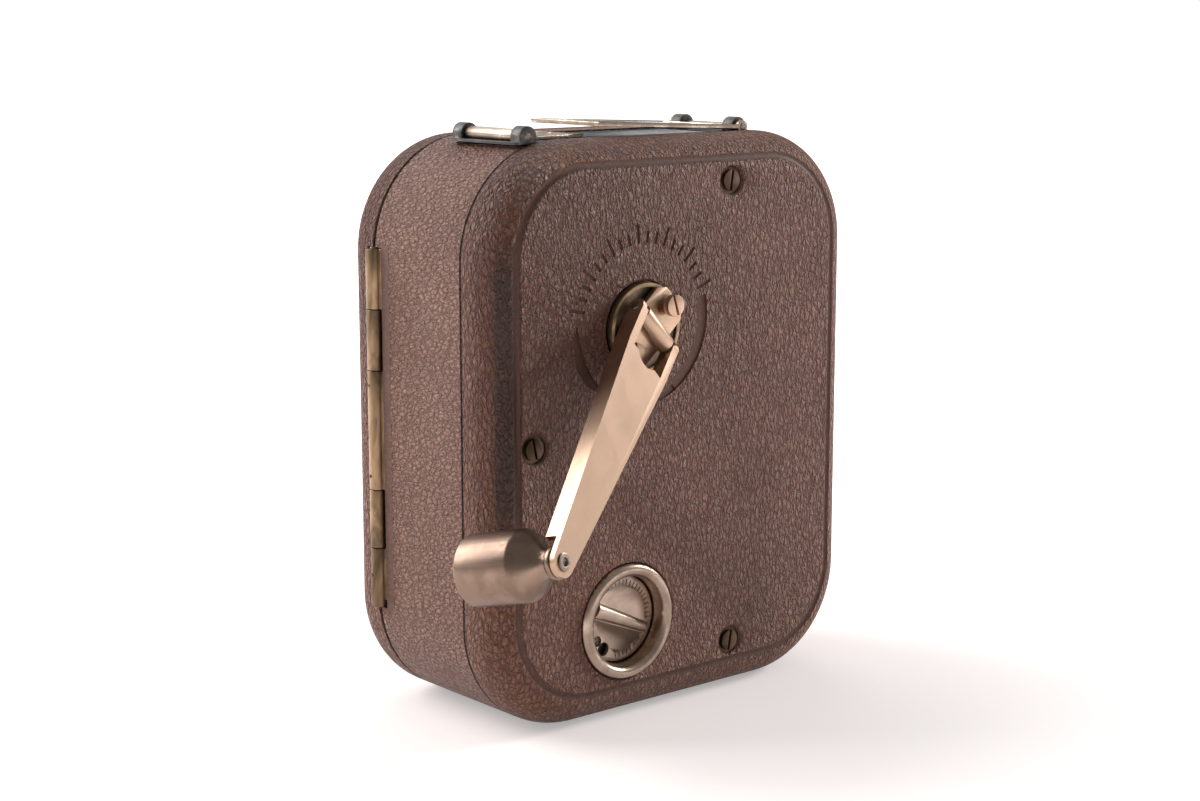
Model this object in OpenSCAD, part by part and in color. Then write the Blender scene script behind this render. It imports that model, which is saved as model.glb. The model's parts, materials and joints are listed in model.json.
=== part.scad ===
// Hand-cranked pocket cine camera, leather covered, with a folding crank and a folding finder.
// Frame: +X to the lens, -Y to the crank side, +Y to the film door, +Z up.
// The origin is the mouth of the tripod socket, in the middle of the base.

/* [Body] */
// Length of the body from back to front
body_l = 91; // [86:0.5:112]
// Thickness of the body from the crank side to the film door
body_t = 44.5; // [42:0.5:56]
// Height of the body
body_h = 108.5; // [102:0.5:132]
// Radius of the four corners of the outline
corner_r = 21.5; // [16:0.5:24]
// Radius along the edge of the crank-side cover
cover_edge_r = 7.5; // [5:0.5:8]
// Radius along the edge of the film door
door_edge_r = 6; // [3:0.5:8]
// Depth of the crank-side cover, from its face to its seam
cover_depth = 8.5; // [8:0.5:10]
// Depth of the film door, from its face to its seam
door_depth = 9.5; // [8.5:0.5:12]
// Thickness of the leather
leather_t = 0.8; // [0.5:0.1:1.2]
// Thickness of the sheet metal
wall_t = 1; // [0.8:0.1:1.4]

/* [Crank] */
// Crank axis behind the middle of the body
crank_back = 10.3; // [6:0.1:12]
// Crank axis below the top of the body
crank_drop = 34.5; // [32:0.5:38]
// Radius of the crank shaft
shaft_r = 2.5; // [2:0.1:3]
// Radius of the round hub flange
hub_r = 8.3; // [8.2:0.1:10]
// Length of the arm from its pivot to the knob
arm_l = 54; // [48:0.5:58]
// Width of the arm at its pivot
arm_w = 12.8; // [12.4:0.1:14.4]
// Width of the arm at the knob
arm_end_w = 5.4; // [5.2:0.1:8]
// Thickness of the arm's sheet metal
arm_t = 1; // [0.8:0.1:1.2]
// Angle of the stowed arm in the plane of the cover, from straight down to the back
stow_angle = 48; // [40:0.5:60]
// Tilt of the stowed arm away from the cover
stow_tilt = 19.5; // [19.5:0.5:26]
// Radius of the knob
knob_r = 6.4; // [5:0.1:7.2]
// Length of the knob's full cylinder
knob_l = 11.4; // [9:0.1:12]
// Length of the knob's hollow neck
neck_l = 6; // [5:0.1:7]

/* [Counter] */
// Counter axis behind the middle of the body
counter_back = 13.7; // [11:0.1:15]
// Counter axis above the base
counter_up = 18.8; // [17:0.1:22]
// Outer radius of the counter's rim
bezel_r = 11; // [10:0.1:12]
// Radius of the counter's dial
dial_r = 8.2; // [7.6:0.1:8.8]

/* [Lens] */
// Lens axis on the door side of the middle of the body
lens_y = 3.6; // [3.4:0.1:3.8]
// Outer radius of the lens barrel
lens_r = 7.4; // [6.6:0.1:7.6]
// Length of the lens barrel in front of the body
lens_l = 9; // [7:0.5:12]

/* [Finder] */
// Width of the finder
finder_w = 20; // [19:0.1:20.2]
// Middle of the finder on the crank side of the middle of the body
finder_off = 3.6; // [2.6:0.1:3.6]
// Rear finder hinge behind the middle of the body
finder_back = 30; // [27:0.5:32]
// Front finder hinge in front of the middle of the body
finder_front = 23; // [20:0.5:25]

/* [Tripod socket] */
// Core diameter of the three-eighths inch tripod thread
socket_d = 7.98; // [5:0.01:8]
// Depth of the tripod thread
socket_l = 8; // [6:0.5:10]

/* [Hidden] */
$fn = 64;

eps = 0.01;
run_gap = 0.05;
seam_gap = 0.1;
half_t = body_t / 2;
cover_face = -half_t;
cover_seam = cover_face + cover_depth;
door_face = half_t;
door_seam = door_face - door_depth;
skin_t = leather_t + wall_t;
back_x = -body_l / 2;
front_x = body_l / 2;
crank_x = -crank_back;
crank_z = body_h - crank_drop;
counter_x = -counter_back;
counter_z = counter_up;

// Depths below the crank-side face
plate_depth = 19.35;
plate_t = 1.2;
plate_y = cover_face + plate_depth;
chamber_y = plate_y + plate_t;

// Cover screws, as places on the cover
screw_sites = [[12.1, body_h - 8.7], [back_x + 9.9, crank_z - 19.7], [12.8, 10]];
screw_head_r = 2;
screw_shank_r = 1.1;
leather_hole_r = 2.7;
pillar_r = 2.6;

// Tooled line round the crank-side cover
line_side = 6.1;
line_top = 4.4;
line_low = 6.2;
line_r = 16.6;
line_w = 1;
line_depth = 0.35;
ring_in_r = 14.2;
ring_w = 1.7;

// Door hinge
hinge_z = [20.2, 31.6, 42.8, 65.4, 76.9, 88.2];
knuckle_r = 1.6;
hinge_pin_r = 0.75;
hinge_notch = 2.2;
leaf_t = 0.7;
leaf_w = 7;

// Crank, in its own frame: x along the hinge, y along the arm, z into the body
pivot_h = 3;
pivot_y = cover_face - pivot_h;
flange_top = 1.1;
barrel_r = 1.8;
barrel_w = 8.6;
strap_l = 7.9;
strap_cut = 1.6;
strap_t = 1;
strap_screw = 6;
arm_top = 1.8;
arm_deep = 1.6;
prong_r = 1.7;
arm_pin_r = 0.95;
rivet_r = 1.1;
collar_r = 2.5;
collar_l = 0.9;
knob_total = collar_l + neck_l + knob_l;

// Gear train
crown_n = 64;
pinion_n = 8;
fine_m = 0.5;
drive_n = 32;
takeup_n = 16;
gear_m = 0.8;
wheel_n = 80;
crown_r = crown_n * fine_m / 2;
pinion_r = pinion_n * fine_m / 2;
gear_depth = 15.65;
gear_t = 2.5;
crown_t = 1.5;
tooth_up = 0.5;
tooth_down = 0.55;
shutter_y = plate_y - 2.7;
crown_pitch_y = shutter_y - pinion_r;
takeup_x = crank_x - 1.7;
takeup_rise = 14.2;
takeup_z = counter_z + takeup_rise;
takeup_r = 2;
step_depth = 9.2;
step_reach = 5.2;
step_gap = 0.15;

// Front part of the mechanism
shutter_shaft_r = 1;
shutter_x = front_x - 17.6;
gate_x = shutter_x - 6.4;
gate_t = 1.5;
disc_r = 14.2;
disc_t = 0.5;
claw_stroke = 7.54;
claw_pin_r = 0.5;
lens_z = crank_z;

function dir_angle(a, b) = atan2(-(b[1] - a[1]), b[0] - a[0]);
function span(a, b) = norm(b - a);
// Third corner of a triangle on a and b, with sides ra and rb, on the +X side
function third(a, b, ra, rb) =
    let (d = span(a, b), along = (ra * ra - rb * rb + d * d) / (2 * d),
         off = sqrt(ra * ra - along * along), u = (b - a) / d)
    a + along * u + off * [-u[1], u[0]];

crank_c = [crank_x, crank_z];
takeup_c = [takeup_x, takeup_z];
// The idler has as many teeth as it needs to reach both gears
idler_n = ceil(span(crank_c, takeup_c) / gear_m - (drive_n + takeup_n) / 2);
idler_c = third(crank_c, takeup_c, gear_m * (drive_n + idler_n) / 2,
    gear_m * (idler_n + takeup_n) / 2);
drive_turn = dir_angle(crank_c, idler_c);
idler_turn = drive_turn + 180 + 180 / idler_n;
idler_to_takeup = dir_angle(idler_c, takeup_c);
idler_pitch = 360 / idler_n;
idler_rest = idler_to_takeup - idler_turn;
idler_phase = idler_rest - idler_pitch * floor(idler_rest / idler_pitch);
takeup_turn = idler_to_takeup + 180 + idler_phase * idler_n / takeup_n + 180 / takeup_n;

// Round bars along Y and along X
module bar_y(x, z, y0, y1, r) {
    translate([x, y0, z]) rotate([-90, 0, 0]) cylinder(r = r, h = y1 - y0);
}
module bar_x(y, z, x0, x1, r) {
    translate([x0, y, z]) rotate([0, 90, 0]) cylinder(r = r, h = x1 - x0);
}
module bar_z(x, y, z0, z1, r) {
    translate([x, y, z0]) cylinder(r = r, h = z1 - z0);
}
// Turns a plate drawn flat, x and -z, to stand in the cover's plane
module upright(x, y, z) {
    translate([x, y, z]) rotate([-90, 0, 0]) children();
}
module block(x0, x1, y0, y1, z0, z1) {
    translate([x0, y0, z0]) cube([x1 - x0, y1 - y0, z1 - z0]);
}

// Flat rounded outline of the body, drawn in by inset
module outline(inset) {
    w = body_l - 2 * inset;
    h = body_h - 2 * inset;
    r = corner_r - inset;
    translate([-w / 2 + r, -h / 2]) square([w - 2 * r, h]);
    translate([-w / 2, -h / 2 + r]) square([w, h - 2 * r]);
    for (sx = [-1, 1], sy = [-1, 1]) translate([sx * (w / 2 - r), sy * (h / 2 - r)]) circle(r);
}
module slab(inset, y0, y1) {
    upright(0, y0, body_h / 2) linear_extrude(y1 - y0) outline(inset);
}

// Half section of a slab with a rounded edge at height 0
module edge_section(r, t, e) {
    square([r - e, t]);
    translate([0, e]) square([r, t - e]);
    intersection() {
        translate([r - e, e]) circle(e);
        square([r, t]);
    }
}
// Slab with a rounded edge round its face, which is at z = 0
module soft_slab(inset, t, e) {
    r = corner_r - inset;
    cx = body_l / 2 - inset - r;
    cy = body_h / 2 - inset - r;
    for (i = [0 : 3]) {
        sx = i == 0 || i == 3 ? 1 : -1;
        sy = i < 2 ? 1 : -1;
        translate([sx * cx, sy * cy, 0]) rotate([0, 0, 90 * i]) {
            rotate_extrude(angle = 90) edge_section(r, t, e);
            rotate([90, 0, 0]) linear_extrude(2 * (i % 2 == 0 ? cy : cx)) edge_section(r, t, e);
        }
    }
    translate([-cx, -cy, 0]) cube([2 * cx, 2 * cy, t]);
}
// Cover-side and door-side rounded slabs, from the drawn-in face to y_end
module cover_slab(inset, y_end) {
    y0 = cover_face + inset;
    upright(0, y0, body_h / 2) soft_slab(inset, y_end - y0, cover_edge_r - inset);
}
module door_slab(inset, y_end) {
    y1 = door_face - inset;
    translate([0, y1, body_h / 2]) rotate([90, 0, 0])
        soft_slab(inset, y1 - y_end, door_edge_r - inset);
}

// Slot across a screw head, on the -Y side
module slot_cut(x, z, y, turn) {
    translate([x, y, z]) rotate([0, turn, 0]) cube([0.55, 1.2, 2 * screw_head_r + 1], center = true);
}

module hinge_room(grow) {
    block(back_x - 3, back_x + hinge_notch - 0.3, door_seam - hinge_notch, door_seam + hinge_notch,
        hinge_z[0] - grow, hinge_z[5] + grow);
}

// Thin slits at the corners, where the four bent plates of the band meet
joint_w = 0.1;
module corner_joints() {
    for (s = [-1, 1], up = [0, 1])
        translate([s * (body_l / 2 - corner_r), 0, up ? body_h - corner_r : corner_r])
            rotate([0, s * (up ? 45 : 135), 0]) translate([-joint_w / 2, -body_t, 4])
                cube([joint_w, 2 * body_t, corner_r]);
}
module case_shell() {
    color("dimgray") difference() {
        slab(leather_t, cover_seam, door_seam - seam_gap);
        corner_joints();
        slab(skin_t, cover_seam - 1, door_seam + 1);
        hinge_room(0.2);
        bar_x(lens_y, lens_z, front_x - 4, front_x + 4, lens_r + 1);
        bar_x(catch_y, catch_z, front_x - 4, front_x + 4, catch_r + 0.15);
        bar_z(0, 0, -1, 4, bush_r);
    }
}

module case_leather() {
    color([0.36, 0.26, 0.24]) difference() {
        slab(0, cover_seam + seam_gap, door_seam - seam_gap);
        slab(leather_t, cover_seam - 1, door_seam + 1);
        corner_joints();
        hinge_room(0.2);
        bar_x(lens_y, lens_z, front_x - 4, front_x + 4, lens_flange_r + 0.2);
        bar_x(catch_y, catch_z, front_x - 4, front_x + 4, catch_r + 0.15);
        bar_z(0, 0, -1, 4, bush_r);
        block(-finder_back - 3.1, finder_front + 3.1, -finder_off - finder_w / 2 - 0.1,
            -finder_off + finder_w / 2 + 0.1, body_h - leather_t - 0.5, body_h + 1);
    }
}

lip_gap = 1;
lip_t = 0.8;
module light_trap() {
    y0 = door_seam - 4;
    color("black") difference() {
        union() {
            difference() {
                slab(skin_t + lip_gap, y0, door_seam + 2);
                slab(skin_t + lip_gap + lip_t, y0 - 1, door_seam + 3);
            }
            for (s = [-1, 1]) {
                translate([0, y0 + 1, body_h / 2 + s * (body_h / 2 - skin_t - lip_gap / 2)])
                    cube([40, 2, lip_gap], center = true);
                translate([s * (body_l / 2 - skin_t - lip_gap / 2), y0 + 1, 12 + corner_r])
                    cube([lip_gap, 2, s > 0 ? 10 : eps], center = true);
            }
        }
        bar_x(lens_y, lens_z, front_x - 6, front_x, lens_r + 1.3);
        block(front_x - 6, front_x, catch_y - 4, catch_y + 9, catch_z - 3.4, catch_z + 3.4);
    }
}

module crank_cover() {
    color("dimgray") difference() {
        cover_slab(leather_t, cover_seam - seam_gap);
        cover_slab(skin_t, cover_seam + 1);
        bar_y(crank_x, crank_z, cover_face - 1, cover_face + 4, cover_bush_r);
        bar_y(counter_x, counter_z, cover_face - 1, cover_face + 4, bezel_tube_r);
        for (s = screw_sites) bar_y(s[0], s[1], cover_face, cover_face + 4, screw_shank_r + 0.1);
    }
}

// Ring of the tooled line, drawn flat
module line_outline(grow) {
    w = body_l - 2 * line_side + 2 * grow;
    h = body_h - line_top - line_low + 2 * grow;
    r = line_r + grow;
    translate([0, (line_top - line_low) / 2]) {
        square([w - 2 * r, h], center = true);
        square([w, h - 2 * r], center = true);
        for (sx = [-1, 1], sy = [-1, 1]) translate([sx * (w / 2 - r), sy * (h / 2 - r)]) circle(r);
    }
}

module crank_cover_leather() {
    color([0.36, 0.26, 0.24]) difference() {
        cover_slab(0, cover_seam - seam_gap);
        cover_slab(leather_t, cover_seam + 1);
        difference() {
            upright(0, cover_face - 1, body_h / 2) linear_extrude(8) difference() {
                line_outline(line_w / 2);
                line_outline(-line_w / 2);
            }
            cover_slab(line_depth, cover_seam + 1);
        }
        upright(crank_x, cover_face - 1, crank_z) linear_extrude(1 + line_depth)
            difference() {
                circle(ring_in_r + ring_w);
                circle(ring_in_r);
                translate([-30, -60]) square([60, 63]);
                translate([-60, -30]) square([50, 60]);
            }
        bar_y(crank_x, crank_z, cover_face - 1, cover_face + 2, hub_r + 0.3);
        bar_y(counter_x, counter_z, cover_face - 1, cover_face + 2, bezel_r + 0.1);
        for (s = screw_sites) bar_y(s[0], s[1], cover_face - 1, cover_face + 2, leather_hole_r);
    }
}

module cover_screws() {
    head_y = cover_face + leather_t;
    color("gray") for (i = [0 : 2]) difference() {
        union() {
            bar_y(screw_sites[i][0], screw_sites[i][1], head_y - 0.7, head_y, screw_head_r);
            bar_y(screw_sites[i][0], screw_sites[i][1], head_y - eps, head_y + 5, screw_shank_r);
        }
        slot_cut(screw_sites[i][0], screw_sites[i][1], head_y - 0.7, [8, -12, 10][i]);
    }
}

module cover_pillars() {
    color("darkgray") difference() {
        intersection() {
            union() {
                for (s = screw_sites) bar_y(s[0], s[1], cover_face + skin_t, plate_y, pillar_r);
            }
            cover_slab(skin_t + 0.02, plate_y + 1);
        }
        for (s = screw_sites) bar_y(s[0], s[1], cover_face, cover_face + 9, screw_shank_r + 0.02);
    }
}

module door_pan() {
    color("dimgray") difference() {
        door_slab(leather_t, door_seam + seam_gap);
        door_slab(skin_t, door_seam - 1);
        hinge_room(0.2);
    }
}

module door_leather() {
    color([0.36, 0.26, 0.24]) difference() {
        door_slab(0, door_seam + seam_gap);
        door_slab(leather_t, door_seam - 1);
        hinge_room(0.2);
    }
}

// One run of hinge knuckles, with the arm that joins each to its leaf inside the wall
module knuckles(runs, side) {
    for (i = runs) {
        z0 = hinge_z[i] + 0.08;
        z1 = hinge_z[i + 1] - 0.08;
        difference() {
            union() {
                bar_z(back_x, door_seam, z0, z1, knuckle_r);
                block(back_x, back_x + skin_t + leaf_t,
                    side < 0 ? door_seam - hinge_notch - 1 : door_seam + 0.3,
                    side < 0 ? door_seam - 0.3 : door_seam + hinge_notch + 1,
                    max(z0, corner_r + 0.1), z1);
            }
            bar_z(back_x, door_seam, z0 - 1, z1 + 1,
                side < 0 ? hinge_pin_r : hinge_pin_r + run_gap);
            hinge_skin(side);
        }
    }
}
// What the wall and its leather keep for themselves beside the knuckles
module hinge_skin(side) {
    y = door_seam + side * hinge_notch;
    block(back_x - 1, back_x + skin_t, side < 0 ? y - 2 : y, side < 0 ? y : y + 2,
        hinge_z[0] - 1, hinge_z[5] + 1);
}
module case_hinge_leaf() {
    color([0.62, 0.5, 0.36]) {
        knuckles([0, 2, 4], -1);
        block(back_x + skin_t, back_x + skin_t + leaf_t, door_seam - leaf_w, door_seam - 4.5,
            corner_r + 0.1, hinge_z[5] - 1.2);
        for (i = [0, 2, 4]) block(back_x + skin_t, back_x + skin_t + leaf_t,
            door_seam - 4.6, door_seam - hinge_notch, max(hinge_z[i] + 0.08, corner_r + 0.1),
            hinge_z[i + 1] - 0.08);
    }
}
module door_hinge_leaf() {
    color([0.62, 0.5, 0.36]) {
        knuckles([1, 3], 1);
        block(back_x + skin_t, back_x + skin_t + leaf_t, door_seam + hinge_notch,
            door_seam + leaf_w - 3.4, hinge_z[1] + 0.08, hinge_z[4] - 0.08);
    }
}
module door_hinge_pin() {
    color("gray") bar_z(back_x, door_seam, hinge_z[0] - 0.2, hinge_z[5] + 0.2, hinge_pin_r);
}

// Push button that lets the film door go, with the tongue on the door that it holds
catch_y = 8.2;
catch_z = 34;
catch_r = 2.4;
catch_out = 1.6;
module door_catch_button() {
    x1 = front_x - skin_t - 0.1;
    color("silver") {
        bar_x(catch_y, catch_z, x1 - 0.4, front_x + catch_out, catch_r);
        block(x1 - 0.8, x1, catch_y - 3, catch_y + 3, catch_z - 3, catch_z + 3);
    }
}
module door_catch_tongue() {
    x1 = front_x - skin_t;
    color("silver") {
        block(x1 - 0.6, x1, door_seam + 0.4, door_seam + 3.3, catch_z - 2.8, catch_z + 2.8);
        block(x1 - 3.2, x1 - 0.5, door_seam + 0.4, door_seam + 1.4, catch_z - 2.8, catch_z + 2.8);
        block(x1 - 3.2, x1 - 2.2, catch_y, door_seam + 1.4, catch_z - 2.8, catch_z + 2.8);
    }
}

bush_r = 6.4;
bush_flange_r = 8.4;
module tripod_bush() {
    color([0.72, 0.6, 0.36]) difference() {
        union() {
            bar_z(0, 0, 0, socket_l, bush_r);
            bar_z(0, 0, skin_t, skin_t + 1.2, bush_flange_r);
        }
        bar_z(0, 0, -1, socket_l + 1, socket_d / 2);
    }
}

module mechanism_plate() {
    inset = skin_t + 0.02;
    color("silver") difference() {
        slab(inset, plate_y, chamber_y);
        block(gate_x, front_x + 1, plate_y - 1, chamber_y + 1, -1, body_h + 1);
        bar_y(crank_x, crank_z, plate_y - 1, chamber_y + 1, plate_bush_r);
        bar_y(takeup_x, takeup_z, plate_y - 1, chamber_y + 1, takeup_bush_r);
        bar_z(0, 0, 0, socket_l + 1, bush_flange_r + 0.2);
    }
}

cover_bush_r = 4.4;
plate_bush_r = 4;
// Bearings of the crank shaft in the cover and in the plate
module shaft_bushes() {
    color([0.72, 0.6, 0.36]) {
        difference() {
            union() {
                bar_y(crank_x, crank_z, cover_face + leather_t, cover_face + 7, cover_bush_r);
                bar_y(crank_x, crank_z, cover_face + skin_t, cover_face + skin_t + 1.2, 7);
            }
            bar_y(crank_x, crank_z, cover_face, cover_face + 8, shaft_r + run_gap);
        }
        difference() {
            union() {
                bar_y(crank_x, crank_z, plate_y - 0.8, chamber_y + 0.6, plate_bush_r);
                bar_y(crank_x, crank_z, chamber_y, chamber_y + 0.6, plate_bush_r + 1.2);
            }
            bar_y(crank_x, crank_z, plate_y - 2, chamber_y + 2, shaft_r - 0.5 + run_gap);
        }
    }
}
module crank_shaft() {
    color("gray") {
        bar_y(crank_x, crank_z, cover_face + 0.4, plate_y - 1, shaft_r);
        bar_y(crank_x, crank_z, plate_y - 1 - eps, chamber_y + 0.4, shaft_r - 0.5);
    }
}
module hub_flange() {
    color([0.6, 0.5, 0.34]) difference() {
        bar_y(crank_x, crank_z, cover_face - flange_top, cover_face + 0.4, hub_r);
        difference() {
            bar_y(crank_x, crank_z, cover_face - flange_top - 1, cover_face - 0.3, hub_r - 0.8);
            bar_y(crank_x, crank_z, cover_face - flange_top - 2, cover_face, 2.6);
            crank_frame() for (s = [-1, 1])
                translate([0, s * strap_screw, -4]) cylinder(r = 1.9, h = 10);
        }
        crank_frame() for (s = [-1, 1])
            translate([0, s * strap_screw, -4]) cylinder(r = screw_shank_r, h = 10);
    }
}

// Frame of the crank hinge, flat on the cover, and of the tilted arm
module crank_frame() {
    translate([crank_x, pivot_y, crank_z]) rotate([0, stow_angle, 0]) rotate([-90, 0, 0])
        children();
}
module arm_frame() {
    crank_frame() rotate([-stow_tilt, 0, 0]) children();
}
module crank_bracket() {
    strap_z = pivot_h - flange_top - strap_t;
    color([0.78, 0.7, 0.62]) crank_frame() difference() {
        union() {
            translate([-barrel_w / 2, 0, 0]) rotate([0, 90, 0]) cylinder(r = barrel_r, h = barrel_w);
            for (s = [-1, 1]) translate([0, 0, strap_z]) linear_extrude(strap_t)
                polygon([[-barrel_w / 2, 0], [barrel_w / 2, 0], [barrel_w / 2, s * (strap_l - strap_cut)],
                    [barrel_w / 2 - strap_cut, s * strap_l], [-barrel_w / 2 + strap_cut, s * strap_l],
                    [-barrel_w / 2, s * (strap_l - strap_cut)]]);
        }
        translate([-barrel_w, -5, pivot_h - flange_top]) cube([2 * barrel_w, 10, 2]);
        translate([-barrel_w, 0, 0]) rotate([0, 90, 0])
            cylinder(r = arm_pin_r + run_gap, h = 2 * barrel_w);
        for (s = [-1, 1]) translate([0, s * strap_screw, -3])
            cylinder(r = screw_shank_r + 0.1, h = 8);
    }
}
module bracket_screws() {
    strap_z = pivot_h - flange_top - strap_t;
    lift = [0, 0.9];
    color("silver") crank_frame() for (i = [0, 1]) {
        s = [1, -1][i];
        difference() {
            union() {
                translate([0, s * strap_screw, strap_z - lift[i] - 1.3])
                    cylinder(r = screw_head_r, h = 1.3);
                translate([0, s * strap_screw, strap_z - lift[i] - 0.5])
                    cylinder(r = screw_shank_r - 0.02, h = 2.5 + lift[i]);
            }
            translate([0, s * strap_screw, strap_z - lift[i] - 1.3]) rotate([0, 0, [38, 25][i]])
                cube([5, 0.55, 1.3], center = true);
        }
    }
}

// Half width of the arm at a distance from its pivot: full width first, then a straight taper
arm_full = 7.6;
function arm_half(y) = (arm_w + (arm_end_w - arm_w) * max(0, y - arm_full) / (arm_l - arm_full)) / 2;
module arm_flat(inset, y0, y1) {
    polygon(concat([for (y = [y0, arm_full, y1]) [arm_half(y) - inset, y]],
        [for (y = [y1, arm_full, y0]) [inset - arm_half(y), y]]));
}
module crank_arm() {
    flange_end = arm_l - 3.4;
    notch_half = barrel_w / 2 + 0.35;
    color([0.78, 0.7, 0.62]) arm_frame() difference() {
        union() {
            translate([0, 0, -arm_top]) linear_extrude(arm_t) {
                arm_flat(0, 0, arm_l);
                translate([0, arm_l]) circle(arm_end_w / 2);
            }
            translate([0, 0, -arm_top]) linear_extrude(arm_top + arm_deep) difference() {
                arm_flat(0, 0, flange_end);
                arm_flat(arm_t, -1, flange_end + 1);
            }
            for (s = [-1, 1]) translate([s * (arm_w / 2 - arm_t / 2 - 0.05), 0, 0])
                rotate([0, 90, 0]) cylinder(r = prong_r, h = arm_t + 0.2, center = true);
        }
        translate([-notch_half, -5, -5]) cube([2 * notch_half, strap_l + 0.4 + 5, 4.5]);
        translate([-0.4, strap_l - 2.3, -5]) cylinder(r = 3.9, h = 4.5);
        translate([-10, 0, 0]) rotate([0, 90, 0]) cylinder(r = arm_pin_r, h = 20);
        translate([0, arm_l, -5]) cylinder(r = rivet_r, h = 10);
    }
}
module arm_pin() {
    color("silver") arm_frame() translate([-arm_w / 2 - 0.2, 0, 0]) rotate([0, 90, 0])
        cylinder(r = arm_pin_r, h = arm_w + 0.4);
}
// The knob's section: radius and distance below the arm's web
knob_top = -arm_top + arm_t + 0.1;
module crank_knob() {
    z1 = collar_l;
    z2 = collar_l + neck_l;
    color([0.8, 0.72, 0.64]) arm_frame() translate([0, arm_l, knob_top]) rotate_extrude()
        polygon(concat([[rivet_r + run_gap, 0], [collar_r + 0.5, 0], [collar_r + 0.5, z1]],
            [for (t = [0 : 1 / 12 : 1]) [collar_r + (knob_r - collar_r) * (1 - cos(180 * pow(t, 1.2))) / 2,
                z1 + 0.3 + (neck_l - 0.3) * t]],
            [[knob_r, knob_total - 0.4], [knob_r - 0.4, knob_total],
            [2.4, knob_total], [2.4, knob_total - 1.2], [rivet_r + run_gap, knob_total - 1.2]]));
}
module knob_rivet() {
    color("gray") arm_frame() translate([0, arm_l, 0]) difference() {
        union() {
            translate([0, 0, -arm_top - 0.3]) cylinder(r = 1.6, h = 0.3);
            translate([0, 0, -arm_top - eps]) cylinder(r = rivet_r, h = knob_total + 1 - 0.1);
            translate([0, 0, knob_top + knob_total - 1.1]) cylinder(r = 2, h = 0.8);
        }
        translate([0, 0, -arm_top - 1]) cylinder(r = 0.8, h = 1.2);
    }
}

// Flat gear outline: root, tip, tip and root of each tooth
function gear_points(n, m) = [for (i = [0 : n - 1], k = [0 : 3])
    let (a = 360 * (i + [-0.27, -0.12, 0.12, 0.27][k]) / n,
         r = n * m / 2 + [-1.15, 0.9, 0.9, -1.15][k] * m) [r * cos(a), r * sin(a)]];
module gear(c, depth, t, n, m, turn, bore) {
    upright(c[0], cover_face + depth, c[1]) rotate([0, 0, turn]) difference() {
        linear_extrude(t) polygon(gear_points(n, m));
        translate([0, 0, -1]) cylinder(r = bore, h = t + 2);
    }
}
module crown_wheel() {
    tip_y = crown_pitch_y + tooth_up;
    root_y = crown_pitch_y - tooth_down;
    color([0.72, 0.6, 0.36]) {
        difference() {
            bar_y(crank_x, crank_z, root_y - crown_t, root_y, crown_r + 1.2);
            bar_y(crank_x, crank_z, root_y - crown_t - 1, root_y + 1, shaft_r);
            for (i = [0 : 4]) upright(crank_x, root_y - crown_t - 1, crank_z)
                rotate([0, 0, 72 * i]) translate([9.6, 0, 0]) cylinder(r = 3.4, h = 4);
        }
        upright(crank_x, root_y - eps, crank_z) for (i = [0 : crown_n - 1])
            rotate([0, 0, 360 * (i + 0.5) / crown_n]) translate([crown_r - 1.3, 0, 0])
            rotate([90, 0, 90]) linear_extrude(2.6) polygon([[-0.36, 0], [0.36, 0],
                [0.16, tip_y - root_y], [-0.16, tip_y - root_y]]);
    }
    color([0.72, 0.6, 0.36]) difference() {
        bar_y(crank_x, crank_z, root_y - crown_t - 1.5, root_y - crown_t + eps, 5);
        bar_y(crank_x, crank_z, root_y - crown_t - 3, root_y + 1, shaft_r);
    }
}
module drive_gear() {
    color([0.72, 0.6, 0.36])
        gear(crank_c, gear_depth, gear_t, drive_n, gear_m, drive_turn, shaft_r);
}
module idler_gear() {
    color([0.72, 0.6, 0.36])
        gear(idler_c, gear_depth, gear_t, idler_n, gear_m, idler_turn, 1.5 + run_gap);
}
module idler_stud() {
    color("gray") {
        bar_y(idler_c[0], idler_c[1], cover_face + gear_depth - 0.6, plate_y, 1.5);
        bar_y(idler_c[0], idler_c[1], cover_face + gear_depth - 1.1,
            cover_face + gear_depth - 0.3, 2.6);
        bar_y(idler_c[0], idler_c[1], cover_face + gear_depth + gear_t + 0.1, plate_y, 2.6);
    }
}
module takeup_gear() {
    color([0.72, 0.6, 0.36])
        gear(takeup_c, gear_depth, gear_t, takeup_n, gear_m, takeup_turn, takeup_r);
}
takeup_bush_r = 3.4;
module takeup_bush() {
    color([0.72, 0.6, 0.36]) difference() {
        union() {
            bar_y(takeup_x, takeup_z, plate_y - 0.6, chamber_y + 0.5, takeup_bush_r);
            bar_y(takeup_x, takeup_z, chamber_y, chamber_y + 0.5, takeup_bush_r + 1);
        }
        bar_y(takeup_x, takeup_z, plate_y - 2, chamber_y + 2, takeup_r + run_gap);
    }
}
// The shaft ends in the film chamber as a spindle with three driving ribs
module takeup_shaft() {
    color("gray") {
        bar_y(takeup_x, takeup_z, cover_face + step_depth - 0.6, chamber_y + 8, takeup_r);
        bar_y(takeup_x, takeup_z, chamber_y + 0.9, chamber_y + 7, 2.9);
        for (i = [0 : 2]) upright(takeup_x, chamber_y + 2, takeup_z) rotate([0, 0, 120 * i])
            translate([0, -0.35, 0]) cube([3.8, 0.7, 5]);
    }
}
// Small cam whose nose steps the counter wheel on by one tooth for each turn
module step_cam() {
    turn = dir_angle(takeup_c, [counter_x, counter_z]) + 90;
    color([0.72, 0.6, 0.36]) upright(takeup_x, cover_face + step_depth, takeup_z)
        rotate([0, 0, turn]) difference() {
            union() {
                cylinder(r = 3.2, h = 1.4);
                translate([0, -0.3, 0]) cube([step_reach, 0.6, 1.4]);
            }
            translate([0, 0, -1]) cylinder(r = takeup_r, h = 4);
        }
}

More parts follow.
